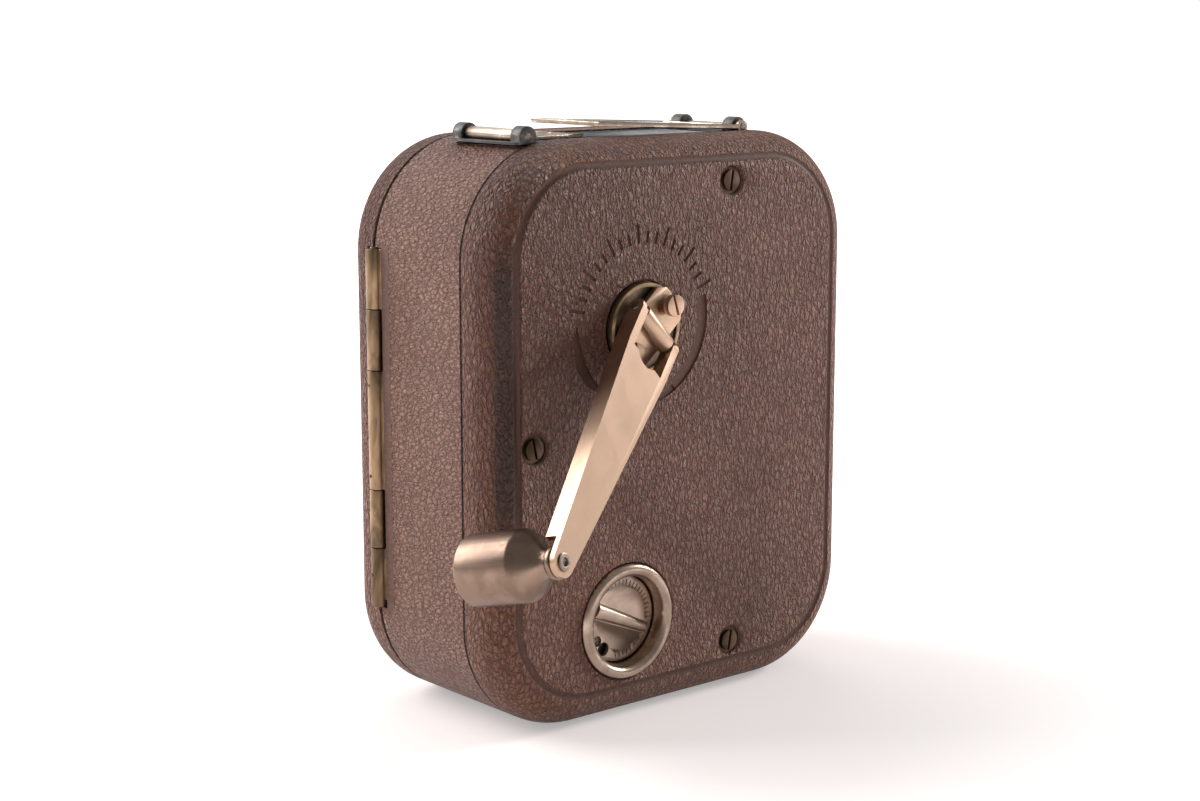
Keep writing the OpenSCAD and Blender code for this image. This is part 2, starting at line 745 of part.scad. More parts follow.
counter_stud_r = 1.5;
bezel_tube_r = 9.6;
module counter_stud() {
    color("gray") {
        bar_y(counter_x, counter_z, cover_face + 3.6, plate_y, counter_stud_r);
        bar_y(counter_x, counter_z, cover_face + step_depth + 1.6, plate_y, 2.6);
    }
}
module counter_bezel() {
    color([0.78, 0.72, 0.64]) difference() {
        union() {
            upright(counter_x, cover_face + leather_t, counter_z) rotate([180, 0, 0])
                rotate_extrude() polygon(concat([[dial_r + 0.3, -1]],
                [for (a = [0 : 15 : 180]) [(bezel_r + dial_r + 0.3) / 2
                    - (bezel_r - dial_r - 0.3) / 2 * cos(a), 0.4 + 1.3 * sin(a)]],
                [[bezel_r, 0.03], [bezel_tube_r, 0.03], [bezel_tube_r, -1]]));
            bar_y(counter_x, counter_z, cover_face + leather_t, cover_face + 6, bezel_tube_r);
        }
        bar_y(counter_x, counter_z, cover_face - 3, cover_face + 7, dial_r + 0.3);
    }
}
// Dial with its raised half-round grip and the two-lobed window
dial_depth = 2.5;
module counter_dial() {
    color([0.78, 0.72, 0.64]) difference() {
        union() {
            bar_y(counter_x, counter_z, cover_face + dial_depth, cover_face + dial_depth + 0.8,
                dial_r);
            bar_y(counter_x, counter_z, cover_face + dial_depth, cover_face + dial_depth + 1.7, 2.6);
            upright(counter_x, cover_face + dial_depth, counter_z) rotate([0, 0, 24])
                intersection() {
                    translate([-6.8, 0, 0]) rotate([0, 90, 0]) cylinder(r1 = 1.6, r2 = 1, h = 13.6);
                    translate([-8, -3, -3]) cube([16, 6, 3 + eps]);
                }
        }
        upright(counter_x, cover_face + dial_depth - 1, counter_z) {
            translate([-3.9, 5.3, 0]) cylinder(r = 1.3, h = 3);
            translate([-5.4, 3.5, 0]) cylinder(r = 1, h = 3);
        }
        bar_y(counter_x, counter_z, cover_face + 3.5, cover_face + 5, counter_stud_r + run_gap);
    }
}
module number_disc() {
    color([0.78, 0.72, 0.64]) difference() {
        union() {
            bar_y(counter_x, counter_z, cover_face + 4.5, cover_face + 5.2, dial_r - 0.3);
            bar_y(counter_x, counter_z, cover_face + 5.1, cover_face + step_depth, 3);
        }
        bar_y(counter_x, counter_z, cover_face + 4, cover_face + step_depth + 1,
            counter_stud_r + run_gap);
    }
}
// Fine-toothed wheel that carries the number disc
module counter_wheel() {
    wheel_r = span(takeup_c, [counter_x, counter_z]) - step_reach - step_gap;
    points = [for (i = [0 : wheel_n - 1], k = [0 : 2])
        let (a = 360 * (i + [0, 0.45, 0.9][k]) / wheel_n, r = wheel_r - [0.6, 0, 0.6][k])
        [r * cos(a), r * sin(a)]];
    color([0.72, 0.6, 0.36]) upright(counter_x, cover_face + step_depth, counter_z)
        difference() {
            linear_extrude(1.4) polygon(points);
            translate([0, 0, -1]) cylinder(r = counter_stud_r + run_gap, h = 4);
        }
}

module shutter_shaft() {
    color("gray")
        bar_x(shutter_y, lens_z, crank_x + crown_r - 1.6, shutter_x + 1.2, shutter_shaft_r);
}
module shutter_pinion() {
    x0 = crank_x + crown_r - 1.6;
    color([0.72, 0.6, 0.36]) translate([x0, shutter_y, lens_z]) rotate([0, 90, 0]) difference() {
        linear_extrude(3.2) rotate([0, 0, -90]) polygon(gear_points(pinion_n, fine_m));
        translate([0, 0, -1]) cylinder(r = shutter_shaft_r, h = 6);
    }
}
// Disc with one open sector, closed over the film while the claw pulls
module shutter_disc() {
    color("black") translate([shutter_x, shutter_y, lens_z]) rotate([0, 90, 0]) difference() {
        union() {
            cylinder(r = disc_r, h = disc_t);
            cylinder(r = 3, h = 1.2);
        }
        translate([0, -3.4, -1]) linear_extrude(4)
            polygon([[0, 0], [-30 * cos(20), -30 * sin(20)], [0, -60], [30 * cos(20), -30 * sin(20)]]);
        translate([0, 0, -1]) cylinder(r = shutter_shaft_r, h = 4);
    }
}
module shaft_block() {
    x0 = crank_x + crown_r + 3.2;
    color("silver") difference() {
        block(x0, x0 + 2.6, shutter_y - 2.6, plate_y, lens_z - 3.4, lens_z + 3.4);
        bar_x(shutter_y, lens_z, x0 - 1, x0 + 4, shutter_shaft_r + run_gap);
    }
}
module shutter_bush() {
    color([0.72, 0.6, 0.36]) difference() {
        bar_x(shutter_y, lens_z, gate_x - 1.2, gate_x + gate_t + 0.3, 2.6);
        bar_x(shutter_y, lens_z, gate_x - 2, gate_x + gate_t + 1, shutter_shaft_r + run_gap);
    }
}
module claw_crank() {
    x0 = gate_x + gate_t + 2.4;
    r = claw_stroke / 2;
    color([0.72, 0.6, 0.36]) {
        difference() {
            bar_x(shutter_y, lens_z, x0, x0 + 1, r + claw_pin_r + 0.4);
            bar_x(shutter_y, lens_z, x0 - 1, x0 + 2, shutter_shaft_r);
        }
        bar_x(shutter_y - r, lens_z, x0 - 1.5, x0 + eps, claw_pin_r);
    }
}
side_w = 0.6;
module claw() {
    x0 = gate_x + gate_t + 0.5;
    half_y = claw_stroke / 2 + claw_pin_r + 0.1;
    half_z = claw_stroke + claw_pin_r + 0.3;
    color("silver") {
        difference() {
            block(x0, x0 + 1, shutter_y - half_y - 1.4, shutter_y + half_y + side_w,
                lens_z - half_z - 1.6, lens_z + half_z + 1.6);
            block(x0 - 1, x0 + 2, shutter_y - half_y, shutter_y + half_y,
                lens_z - half_z, lens_z + half_z);
        }
        block(x0, x0 + 1, shutter_y + half_y, lens_y + 0.5, lens_z - 9, lens_z - 7);
        block(gate_x - 0.3, x0 + 0.5, lens_y - 0.4, lens_y + 0.4, lens_z - 8.6, lens_z - 7.6);
    }
}
module claw_guides() {
    x0 = gate_x + gate_t;
    half_y = claw_stroke / 2 + claw_pin_r + 0.2;
    color("gray") {
        for (z = [-11.5, 8]) block(x0, x0 + 2, shutter_y - half_y - 2.8, shutter_y - half_y - 1.4,
            lens_z + z, lens_z + z + 3.5);
        for (z = [4.2, 10]) block(x0, x0 + 2, shutter_y + half_y + side_w,
            shutter_y + half_y + side_w + 1.2, lens_z + z, lens_z + z + 2);
    }
}
pad_x = 0.2;
pad_t = 0.9;
pad_pin_r = 0.7;
pad_pin_y = lens_y + 7.4;
pad_pin_x = gate_x - 1.3;
module gate_plate() {
    color("darkgray") difference() {
        union() {
            block(gate_x, gate_x + gate_t, cover_face + 7.4, pad_pin_y + 1.2, lens_z - 18, lens_z + 17);
            for (z = [-11, 9]) block(pad_pin_x - 1.2, gate_x + eps, pad_pin_y - 1.2, pad_pin_y + 1.2,
                lens_z + z, lens_z + z + 2);
        }
        block(gate_x - 1, gate_x + gate_t + 1, lens_y - 4.25, lens_y + 4.25,
            lens_z - 3.25, lens_z + 3.25);
        block(gate_x - 1, gate_x + gate_t + 1, lens_y - 0.8, lens_y + 0.8,
            lens_z - 12.6, lens_z - 3.6);
        bar_x(shutter_y, lens_z, gate_x - 1, gate_x + gate_t + 1, 2.6);
        bar_z(pad_pin_x, pad_pin_y, lens_z - 12, lens_z + 12, pad_pin_r);
        for (z = [-15, 14]) bar_x(lens_y, lens_z + z, gate_x - 1, gate_x + gate_t + 1, 0.8);
    }
}
module pressure_pad() {
    color("silver") difference() {
        union() {
            block(gate_x - pad_x - pad_t, gate_x - pad_x, lens_y - 5.15, lens_y + 5.4,
                lens_z - 8.6, lens_z + 8.6);
            block(pad_pin_x - 0.45, gate_x - pad_x, lens_y + 5.3, pad_pin_y, lens_z - 8.6,
                lens_z + 8.6);
            bar_z(pad_pin_x, pad_pin_y, lens_z - 8.6, lens_z + 8.6, 1.1);
        }
        bar_z(pad_pin_x, pad_pin_y, lens_z - 10, lens_z + 10, pad_pin_r + run_gap);
        block(gate_x - pad_x - 2, gate_x, lens_y - 0.8, lens_y + 0.8, lens_z - 8.7, lens_z - 3.6);
    }
}
// Two posts that turn the film into the gate
module film_guides() {
    color("gray") for (s = [-1, 1]) {
        bar_y(gate_x - 4, lens_z + 21.5 * s, chamber_y, chamber_y + 11.5, 1.6);
        bar_y(gate_x - 4, lens_z + 21.5 * s, chamber_y + 10.7, chamber_y + 11.5, 2.4);
    }
}
module pad_pin() {
    color("gray") bar_z(pad_pin_x, pad_pin_y, lens_z - 11, lens_z + 11, pad_pin_r);
}

lens_flange_r = 8.8;
glass_r = 4.8;
module lens_flange() {
    color([0.78, 0.72, 0.64]) difference() {
        union() {
            bar_x(lens_y, lens_z, front_x - leather_t, front_x + 1, lens_flange_r);
            bar_x(lens_y, lens_z, front_x - skin_t - 2, front_x, lens_r + 0.98);
        }
        bar_x(lens_y, lens_z, front_x - 8, front_x + 8, lens_r - 1);
    }
}
module lens_barrel() {
    color("dimgray") difference() {
        union() {
            bar_x(lens_y, lens_z, front_x - 7, front_x + 1.1, lens_r - 1);
            bar_x(lens_y, lens_z, front_x + 1, front_x + lens_l, lens_r - 1.2);
        }
        bar_x(lens_y, lens_z, front_x + lens_l - 2.6, front_x + lens_l + 1, glass_r);
        bar_x(lens_y, lens_z, front_x - 8, front_x + lens_l, glass_r - 1);
        bar_x(lens_y, lens_z, front_x - 8, front_x - 4.6, glass_r);
    }
}
// Milled ring that turns the stops round the barrel
module stop_ring() {
    n = 36;
    color([0.78, 0.72, 0.64]) translate([front_x + 2.4, lens_y, lens_z]) rotate([0, 90, 0])
        difference() {
            linear_extrude(4.4) polygon([for (i = [0 : n - 1], k = [0 : 3])
                let (a = 360 * (i + 0.25 * k) / n, r = lens_r + 0.6 - (k < 2 ? 0 : 0.35))
                [r * cos(a), r * sin(a)]]);
            translate([0, 0, -1]) cylinder(r = lens_r - 1.2 + run_gap, h = 8);
        }
}
// Front glass with its curved face, and the flat rear glass
module lens_glass() {
    r = glass_r - 0.02;
    color([0.7, 0.8, 0.85, 0.4]) {
        translate([front_x + lens_l - 2.5, lens_y, lens_z]) rotate([0, 90, 0]) rotate_extrude()
            polygon(concat([[0, 0], [r, 0]], [for (i = [6 : -1 : 1])
            [r * i / 6, 0.6 + 1.1 * (1 - i * i / 36)]], [[0, 0.6 + 1.1 * 35 / 36]]));
        bar_x(lens_y, lens_z, front_x - 6.6, front_x - 4.7, r);
    }
}

// Folding finder on the top
finder_y = -finder_off;
base_t = 0.5;
ear_r = 1.9;
ear_w = 2.7;
finder_pin_r = 0.7;
barrel_up = 0.6;
loop_r = 1.3;
base_z = body_h - leather_t;
rear_x = -finder_back;
frame_x = finder_front;
leaf_z = body_h + barrel_up;
rail_w = 1;
rail_t = 0.8;
sight_w = finder_w - 2 * ear_w - 0.3;
ear_out = finder_w / 2 - rail_w - 0.2;
frame_end = rear_x + 16.5;
frame_rise = 2.6;
module ears(x, out) {
    for (s = [-1, 1]) {
        y = finder_y + s * (out - ear_w / 2);
        difference() {
            union() {
                bar_y(x, leaf_z, y - ear_w / 2, y + ear_w / 2, ear_r);
                block(x - ear_r, x + ear_r, y - ear_w / 2, y + ear_w / 2, base_z, leaf_z);
            }
            bar_y(x, leaf_z, y - ear_w, y + ear_w, finder_pin_r);
            block(x - 3, x + 3, y - ear_w, y + ear_w, base_z - 3, base_z);
        }
    }
}
module finder_base() {
    half = finder_w / 2;
    color([0.2, 0.19, 0.18]) {
        difference() {
            block(rear_x - 3, frame_x + 3, finder_y - half, finder_y + half, base_z, base_z + base_t);
            block(rear_x - 1.5, rear_x + 1.5, finder_y - sight_w / 2 - 0.1,
                finder_y + sight_w / 2 + 0.1, base_z - 1, base_z + 1);
            for (s = [-1, 1]) translate([frame_x, finder_y + s * half, base_z])
                cube([3, 2 * rail_w + 0.3, 2], center = true);
        }
        ears(rear_x, half);
        ears(frame_x, ear_out);
    }
}
module finder_pins() {
    color("gray") for (x = [rear_x, frame_x])
        bar_y(x, leaf_z, finder_y - finder_w / 2, finder_y + finder_w / 2, finder_pin_r);
}
// Front frame, folded back over the top, with its pane of glass
module frame_level() {
    translate([frame_x, 0, leaf_z]) rotate([0, frame_rise, 0]) translate([-frame_x, 0, -leaf_z])
        children();
}
module finder_frame() {
    half = finder_w / 2;
    color([0.66, 0.58, 0.5]) frame_level() difference() {
        union() {
            block(frame_end, frame_x - 2.6, finder_y - half, finder_y + half,
                leaf_z - 0.35, leaf_z - 0.35 + rail_t);
            for (s = [-1, 1]) {
                y = finder_y + s * (half - rail_w / 2);
                block(frame_x - 2.7, frame_x, y - rail_w / 2, y + rail_w / 2,
                    leaf_z - 0.35, leaf_z - 0.35 + rail_t);
                bar_y(frame_x, leaf_z, y - rail_w / 2, y + rail_w / 2, loop_r);
            }
        }
        block(frame_end + 1.4, frame_x - 4, finder_y - half + 1.2, finder_y + half - 1.2,
            leaf_z - 2, leaf_z + 2);
        bar_y(frame_x, leaf_z, finder_y - finder_w, finder_y + finder_w, finder_pin_r + run_gap);
    }
}
module finder_lens() {
    half = finder_w / 2;
    color([0.7, 0.8, 0.85, 0.4]) frame_level() block(frame_end + 1.42, frame_x - 4.02,
        finder_y - half + 1.22, finder_y + half - 1.22, leaf_z - 0.25, leaf_z + 0.35);
}
// Rear sight, folded forward: a short leaf with a peep hole
module finder_sight() {
    half = sight_w / 2;
    color([0.78, 0.72, 0.64]) difference() {
        union() {
            block(rear_x, frame_end - 1.2, finder_y - half, finder_y + half,
                leaf_z - 0.8, leaf_z - 0.1);
            bar_y(rear_x, leaf_z, finder_y - half, finder_y + half, loop_r);
        }
        bar_z(frame_end - 5, finder_y, leaf_z - 3, leaf_z + 3, 1.6);
        bar_y(rear_x, leaf_z, finder_y - finder_w, finder_y + finder_w, finder_pin_r + run_gap);
    }
}

case_shell();
case_leather();
light_trap();
crank_cover();
crank_cover_leather();
cover_screws();
cover_pillars();
door_pan();
door_leather();
case_hinge_leaf();
door_hinge_leaf();
door_hinge_pin();
door_catch_button();
door_catch_tongue();
tripod_bush();
mechanism_plate();
shaft_bushes();
crank_shaft();
hub_flange();
crank_bracket();
bracket_screws();
crank_arm();
arm_pin();
crank_knob();
knob_rivet();
crown_wheel();
drive_gear();
idler_gear();
idler_stud();
takeup_gear();
takeup_shaft();
takeup_bush();
step_cam();
counter_stud();
counter_bezel();
counter_dial();
number_disc();
counter_wheel();
shutter_shaft();
shutter_pinion();
shutter_disc();
shaft_block();
shutter_bush();
claw_crank();
claw();
claw_guides();
gate_plate();
pressure_pad();
pad_pin();
film_guides();
lens_flange();
lens_barrel();
stop_ring();
lens_glass();
finder_base();
finder_frame();
finder_lens();
finder_sight();
finder_pins();
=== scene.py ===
"""Looks of the hand-cranked pocket movie camera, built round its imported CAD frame.

The scene runs in metres. Sizes below are in millimetres and go through mm().
+X is the lens end, -Y the crank side, +Y the film door, +Z up.
"""

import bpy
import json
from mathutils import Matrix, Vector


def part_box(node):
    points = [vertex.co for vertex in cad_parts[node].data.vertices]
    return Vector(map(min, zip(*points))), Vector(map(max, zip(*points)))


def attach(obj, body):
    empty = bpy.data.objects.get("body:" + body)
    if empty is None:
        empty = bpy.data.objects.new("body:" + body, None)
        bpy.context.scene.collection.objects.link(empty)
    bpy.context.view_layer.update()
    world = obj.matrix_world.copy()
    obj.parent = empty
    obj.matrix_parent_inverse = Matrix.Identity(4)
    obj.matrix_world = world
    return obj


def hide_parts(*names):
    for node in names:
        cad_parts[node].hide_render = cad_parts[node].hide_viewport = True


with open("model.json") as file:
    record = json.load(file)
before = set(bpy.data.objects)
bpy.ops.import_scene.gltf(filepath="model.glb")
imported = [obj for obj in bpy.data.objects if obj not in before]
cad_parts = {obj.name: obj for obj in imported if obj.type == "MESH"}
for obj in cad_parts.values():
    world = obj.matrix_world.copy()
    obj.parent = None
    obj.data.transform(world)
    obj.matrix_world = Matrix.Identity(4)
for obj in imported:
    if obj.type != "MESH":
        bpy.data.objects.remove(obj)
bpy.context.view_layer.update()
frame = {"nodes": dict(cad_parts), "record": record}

import json
import math

import bmesh
import bpy
import numpy as np
from mathutils import Matrix, Vector

nodes = frame["nodes"]


def mm(*values):
    scaled = [v * 0.001 for v in values]
    return scaled[0] if len(scaled) == 1 else Vector(scaled)


# Sizes shared with the CAD model, in millimetres
BODY_L, BODY_T, BODY_H = 91.0, 44.5, 108.5
CORNER_R = 21.5
COVER_FACE, DOOR_FACE = -BODY_T / 2, BODY_T / 2
COVER_SEAM, DOOR_SEAM = -13.75, 12.75
COVER_EDGE_R, DOOR_EDGE_R = 7.5, 6.0
LEATHER_T = 0.8
HUB = (-10.3, 74.0)
COUNTER = (-13.7, 18.8)
SCREWS = ((12.1, 99.8), (-35.6, 54.3), (12.8, 10.0))
LENS = (3.6, 74.0)
CATCH = (8.2, 34.0)
HINGE_FOOT, HINGE_TOP, KNUCKLES_OUT = 20.2, 88.2, 1.52
DIAL_FACE = COVER_FACE + 2.5
DISC_FACE = COVER_FACE + 4.5

# Openings in the leather
HUB_HOLE_R, COUNTER_HOLE_R, SCREW_HOLE_R = 8.6, 11.1, 2.7
LENS_HOLE_R, CATCH_HOLE_R, SOCKET_HOLE_R = 9.0, 2.55, 6.4
FLARE, SCREW_FLARE = 0.3, 0.9
FINDER_ROOM = ((-33.1, -13.7, BODY_H - 1.3), (26.1, 6.5, BODY_H + 1))
HINGE_ROOM = ((-50, DOOR_SEAM - 2.2, HINGE_FOOT - 0.2),
              (-BODY_L / 2 + 1.9, DOOR_SEAM + 2.2, HINGE_TOP + 0.2))

# Half the leather's gap at a seam, the width of the lip beside it, and how far its outside is drawn in
SEAM_GAP = 0.1
COVER_LIP, DOOR_LIP = 0.12, 0.32
COVER_DRAW, DOOR_DRAW = 0.22, 0.55

# The tooled line lies this far from the sides, the top and the foot
LINE_SIDE, LINE_TOP, LINE_FOOT = 6.1, 4.4, 6.2
LINE_R, LINE_HALF_W, LINE_DEPTH = 16.6, 0.72, 0.45

# Rings of faces this wide cross the tooled line, as far as this inside it
RING_W, RINGS_IN = 0.22, 3.5

# Upright rounded outlines: half length, half height, the middle's height and the corners' radius
OUTLINE = (BODY_L / 2, BODY_H / 2, BODY_H / 2, CORNER_R)
LINE = (BODY_L / 2 - LINE_SIDE, (BODY_H - LINE_TOP - LINE_FOOT) / 2,
        BODY_H / 2 + (LINE_FOOT - LINE_TOP) / 2, LINE_R)
OUTLINE_KEYS = ("Half length", "Half height", "Middle", "Radius")

# Pressed arrow and ticks round the hub: middle, depth, radii, and degrees from +X towards +Z
MARKS = (HUB[0] + 0.2, HUB[1] + 1.3)
MARK_DEPTH = 0.32
ARROW_OUT, ARROW_IN, TAIL_IN = 16.0, 13.6, 14.7
ARROW_START, TAIL_START, TAIL_END = 13, -60, -126
TICK_COUNT, TICK_START, TICK_STEP, TICK_W = 19, 20, 8.3, 0.6
TICK_IN, TICK_OUT, LONG_TICK_OUT = 14.2, 16.4, 17.8

# Degrees between the points of an arc
ARC_STEP = 5.0

# Degrees between two faces: up to the first they are shaded as one, from the second the edge is rounded
SMOOTH_BELOW, SHARP_ABOVE = 35, 38

# The photo's camera: picture width and focal length in pixels, place in mm, degrees of tilt and turn
PICTURE_W, FOCAL = 1200, 2154.0
CAMERA_PLACE = (-269.4, -315.9, 130.8)
CAMERA_TILT, CAMERA_TURN = 90 - 10.20, -40.28
SENSOR_W = 36.0


# Mesh helpers
def object_mode():
    if bpy.context.object and bpy.context.object.mode != "OBJECT":
        bpy.ops.object.mode_set(mode="OBJECT")


def only(*objs):
    """Selects these objects alone, with the first one active."""
    object_mode()
    bpy.ops.object.select_all(action="DESELECT")
    for o in objs:
        o.select_set(True)
    bpy.context.view_layer.objects.active = objs[0]


def named(name):
    """Names the active object and its data."""
    o = bpy.context.object
    o.name = name
    o.data.name = name
    return o


def bake_place(o):
    only(o)
    bpy.ops.object.transform_apply(location=True, rotation=True, scale=True)
    return o


def edit(o, mode="FACE"):
    """Opens a mesh in edit mode with all of it selected."""
    only(o)
    bpy.ops.object.mode_set(mode="EDIT")
    bpy.ops.mesh.select_mode(type=mode)
    bpy.ops.mesh.select_all(action="SELECT")


def open_ends(o, ends):
    """Deletes the flat faces that stand at the given places in Y."""
    edit(o)
    bpy.ops.mesh.select_all(action="DESELECT")
    bm = bmesh.from_edit_mesh(o.data)
    for face in bm.faces:
        middle = face.calc_center_median() * 1000
        face.select = min(abs(middle.y - y) for y in ends) < 0.01 and abs(face.normal.y) > 0.9
    bm.select_flush_mode()
    bmesh.update_edit_mesh(o.data)
    bpy.ops.mesh.delete(type="FACE")


def extrude_y(*steps):
    """Extrudes the selected faces along Y, once for each step."""
    for step in steps:
        bpy.ops.mesh.extrude_region_move(TRANSFORM_OT_translate={"value": mm(0, step, 0)})


def modifier(o, kind, **values):
    """Adds a modifier with these values and applies it at once."""
    m = o.modifiers.new(kind.lower(), kind)
    for key, value in values.items():
        setattr(m, key, value)
    only(o)
    bpy.ops.object.modifier_apply(modifier=m.name)
    return o


def outward(o):
    """Joins a mesh's doubled vertices and turns its faces outwards."""
    edit(o)
    bpy.ops.mesh.remove_doubles(threshold=1e-6)
    bpy.ops.mesh.normals_make_consistent(inside=False)
    object_mode()
    return o


def cut(o, *cutters):
    for c in cutters:
        modifier(o, "BOOLEAN", object=c, operation="DIFFERENCE", solver="EXACT")
        bpy.data.objects.remove(c)
    return o


def join(name, *objs):
    only(*objs)
    bpy.ops.object.join()
    return named(name)


def moved(o, matrix):
    o.data.transform(matrix)
    o.data.update()
    return o


def finish_piece(o, body, slot, material, *stands_for):
    """Shades a piece, gives it its material, parents it to its body's empty, and hides the nodes it stands
    for.
    """
    only(o)
    bpy.ops.object.shade_smooth_by_angle(angle=math.radians(SMOOTH_BELOW))
    o.data.materials.clear()
    o.data.materials.append(material)
    for face in o.data.polygons:
        face.material_index = 0
    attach(o, body)
    if stands_for:
        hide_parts(*stands_for)
    return o


def rod(name, place, direction, length, radius, count=48):
    """A round bar from place along direction, all in millimetres."""
    d = Vector(direction).normalized()
    mid = Vector(place) + d * (length / 2)
    bpy.ops.mesh.primitive_cylinder_add(vertices=count, radius=mm(radius), depth=mm(length),
                                        location=mm(*mid),
                                        rotation=d.to_track_quat("Z", "Y").to_euler())
    return bake_place(named(name))


def brick(name, low, high):
    """A box between its lowest and highest corners."""
    mid = [(a + b) / 2 for a, b in zip(low, high)]
    size = [b - a for a, b in zip(low, high)]
    bpy.ops.mesh.primitive_cube_add(size=1, location=mm(*mid))
    o = named(name)
    o.scale = mm(*size)
    return bake_place(o)


def turned(name, outline, place, direction, steps=72):
    """A turned piece: outline is pairs of radius and height, spun round an axis from place."""
    bpy.ops.mesh.primitive_plane_add(size=1)
    o = named(name)
    edit(o, "VERT")
    bpy.ops.mesh.merge(type="CENTER")
    bm = bmesh.from_edit_mesh(o.data)
    bm.verts.ensure_lookup_table()
    bm.verts[0].co = mm(outline[0][0], 0, outline[0][1])
    bmesh.update_edit_mesh(o.data)
    for (r0, h0), (r1, h1) in zip(outline, outline[1:]):
        bpy.ops.mesh.extrude_vertices_move(
            TRANSFORM_OT_translate={"value": mm(r1 - r0, 0, h1 - h0)})
    bpy.ops.mesh.select_all(action="SELECT")
    bpy.ops.mesh.remove_doubles(threshold=1e-7)
    bpy.ops.mesh.select_all(action="SELECT")
    bpy.ops.mesh.spin(steps=steps, angle=2 * math.pi, center=(0, 0, 0), axis=(0, 0, 1))
    object_mode()
    outward(o)
    d = Vector(direction).normalized()
    turn = d.to_track_quat("Z", "Y").to_matrix().to_4x4()
    return moved(o, Matrix.Translation(mm(*place)) @ turn)


def prism(name, points, y0, y1):
    """An upright prism over an outline of x, z points in mm, from y0 to y1."""
    bpy.ops.mesh.primitive_circle_add(vertices=len(points), radius=0.01, fill_type="NGON")
    o = named(name)
    for v, (x, z) in zip(o.data.vertices, points):
        v.co = mm(x, y0, z)
    edit(o)
    extrude_y(y1 - y0)
    object_mode()
    return outward(o)


def on_ring(centre, r, angle):
    """The x, z point of a ring at an angle, in radians from +X towards +Z."""
    return centre[0] + r * math.cos(angle), centre[1] + r * math.sin(angle)


def band_points(centre, r0, r1, start, end):
    """Outline of a curved band between two angles, in degrees from +X towards +Z."""
    count = max(2, int(abs(end - start) / ARC_STEP) + 1)
    angles = [math.radians(start + (end - start) * i / (count - 1)) for i in range(count)]
    return [on_ring(centre, r1, a) for a in angles] + [on_ring(centre, r0, a) for a in reversed(angles)]


def bar(name, centre, angle, r0, r1, width, y0, y1):
    """A straight bar along a radius of a ring, from r0 to r1."""
    across = Vector((-math.sin(angle), math.cos(angle))) * width / 2
    near, far = (Vector(on_ring(centre, r, angle)) for r in (r0, r1))
    corners = (near - across, near + across, far + across, far - across)
    return prism(name, [tuple(corner) for corner in corners], y0, y1)


def refined(source, name, width, segments=2):
    """A copy of a CAD node, where the node stands, with its sharp edges rounded."""
    node = nodes[source]
    o = bpy.data.objects.new(name, node.data.copy())
    o.data.name = name
    o.data.transform(node.matrix_world)
    bpy.context.scene.collection.objects.link(o)
    edit(o)
    bpy.ops.mesh.remove_doubles(threshold=2e-6)
    bpy.ops.mesh.dissolve_limited(angle_limit=math.radians(0.8))
    bpy.ops.mesh.normals_make_consistent(inside=False)
    object_mode()
    return modifier(o, "BEVEL", width=mm(width), segments=segments, limit_method="ANGLE",
                    angle_limit=math.radians(SHARP_ABOVE), use_clamp_overlap=True,
                    miter_outer="MITER_ARC", harden_normals=False)


def same_shape(source, name, body, slot, material, width, segments=2):
    """A finished piece in a CAD node's own shape, with its edges rounded by width."""
    return finish_piece(refined(source, name, width, segments), body, slot, material, source)


# Shader groups
def group(name, inputs, outputs):
    """A new node group with its tree, its input node and its output node."""
    tree = bpy.data.node_groups.new(name, "ShaderNodeTree")
    for way, sockets in (("INPUT", inputs), ("OUTPUT", outputs)):
        for title, kind in sockets:
            tree.interface.new_socket(title, in_out=way, socket_type=kind)
    return tree, tree.nodes.new("NodeGroupInput"), tree.nodes.new("NodeGroupOutput")


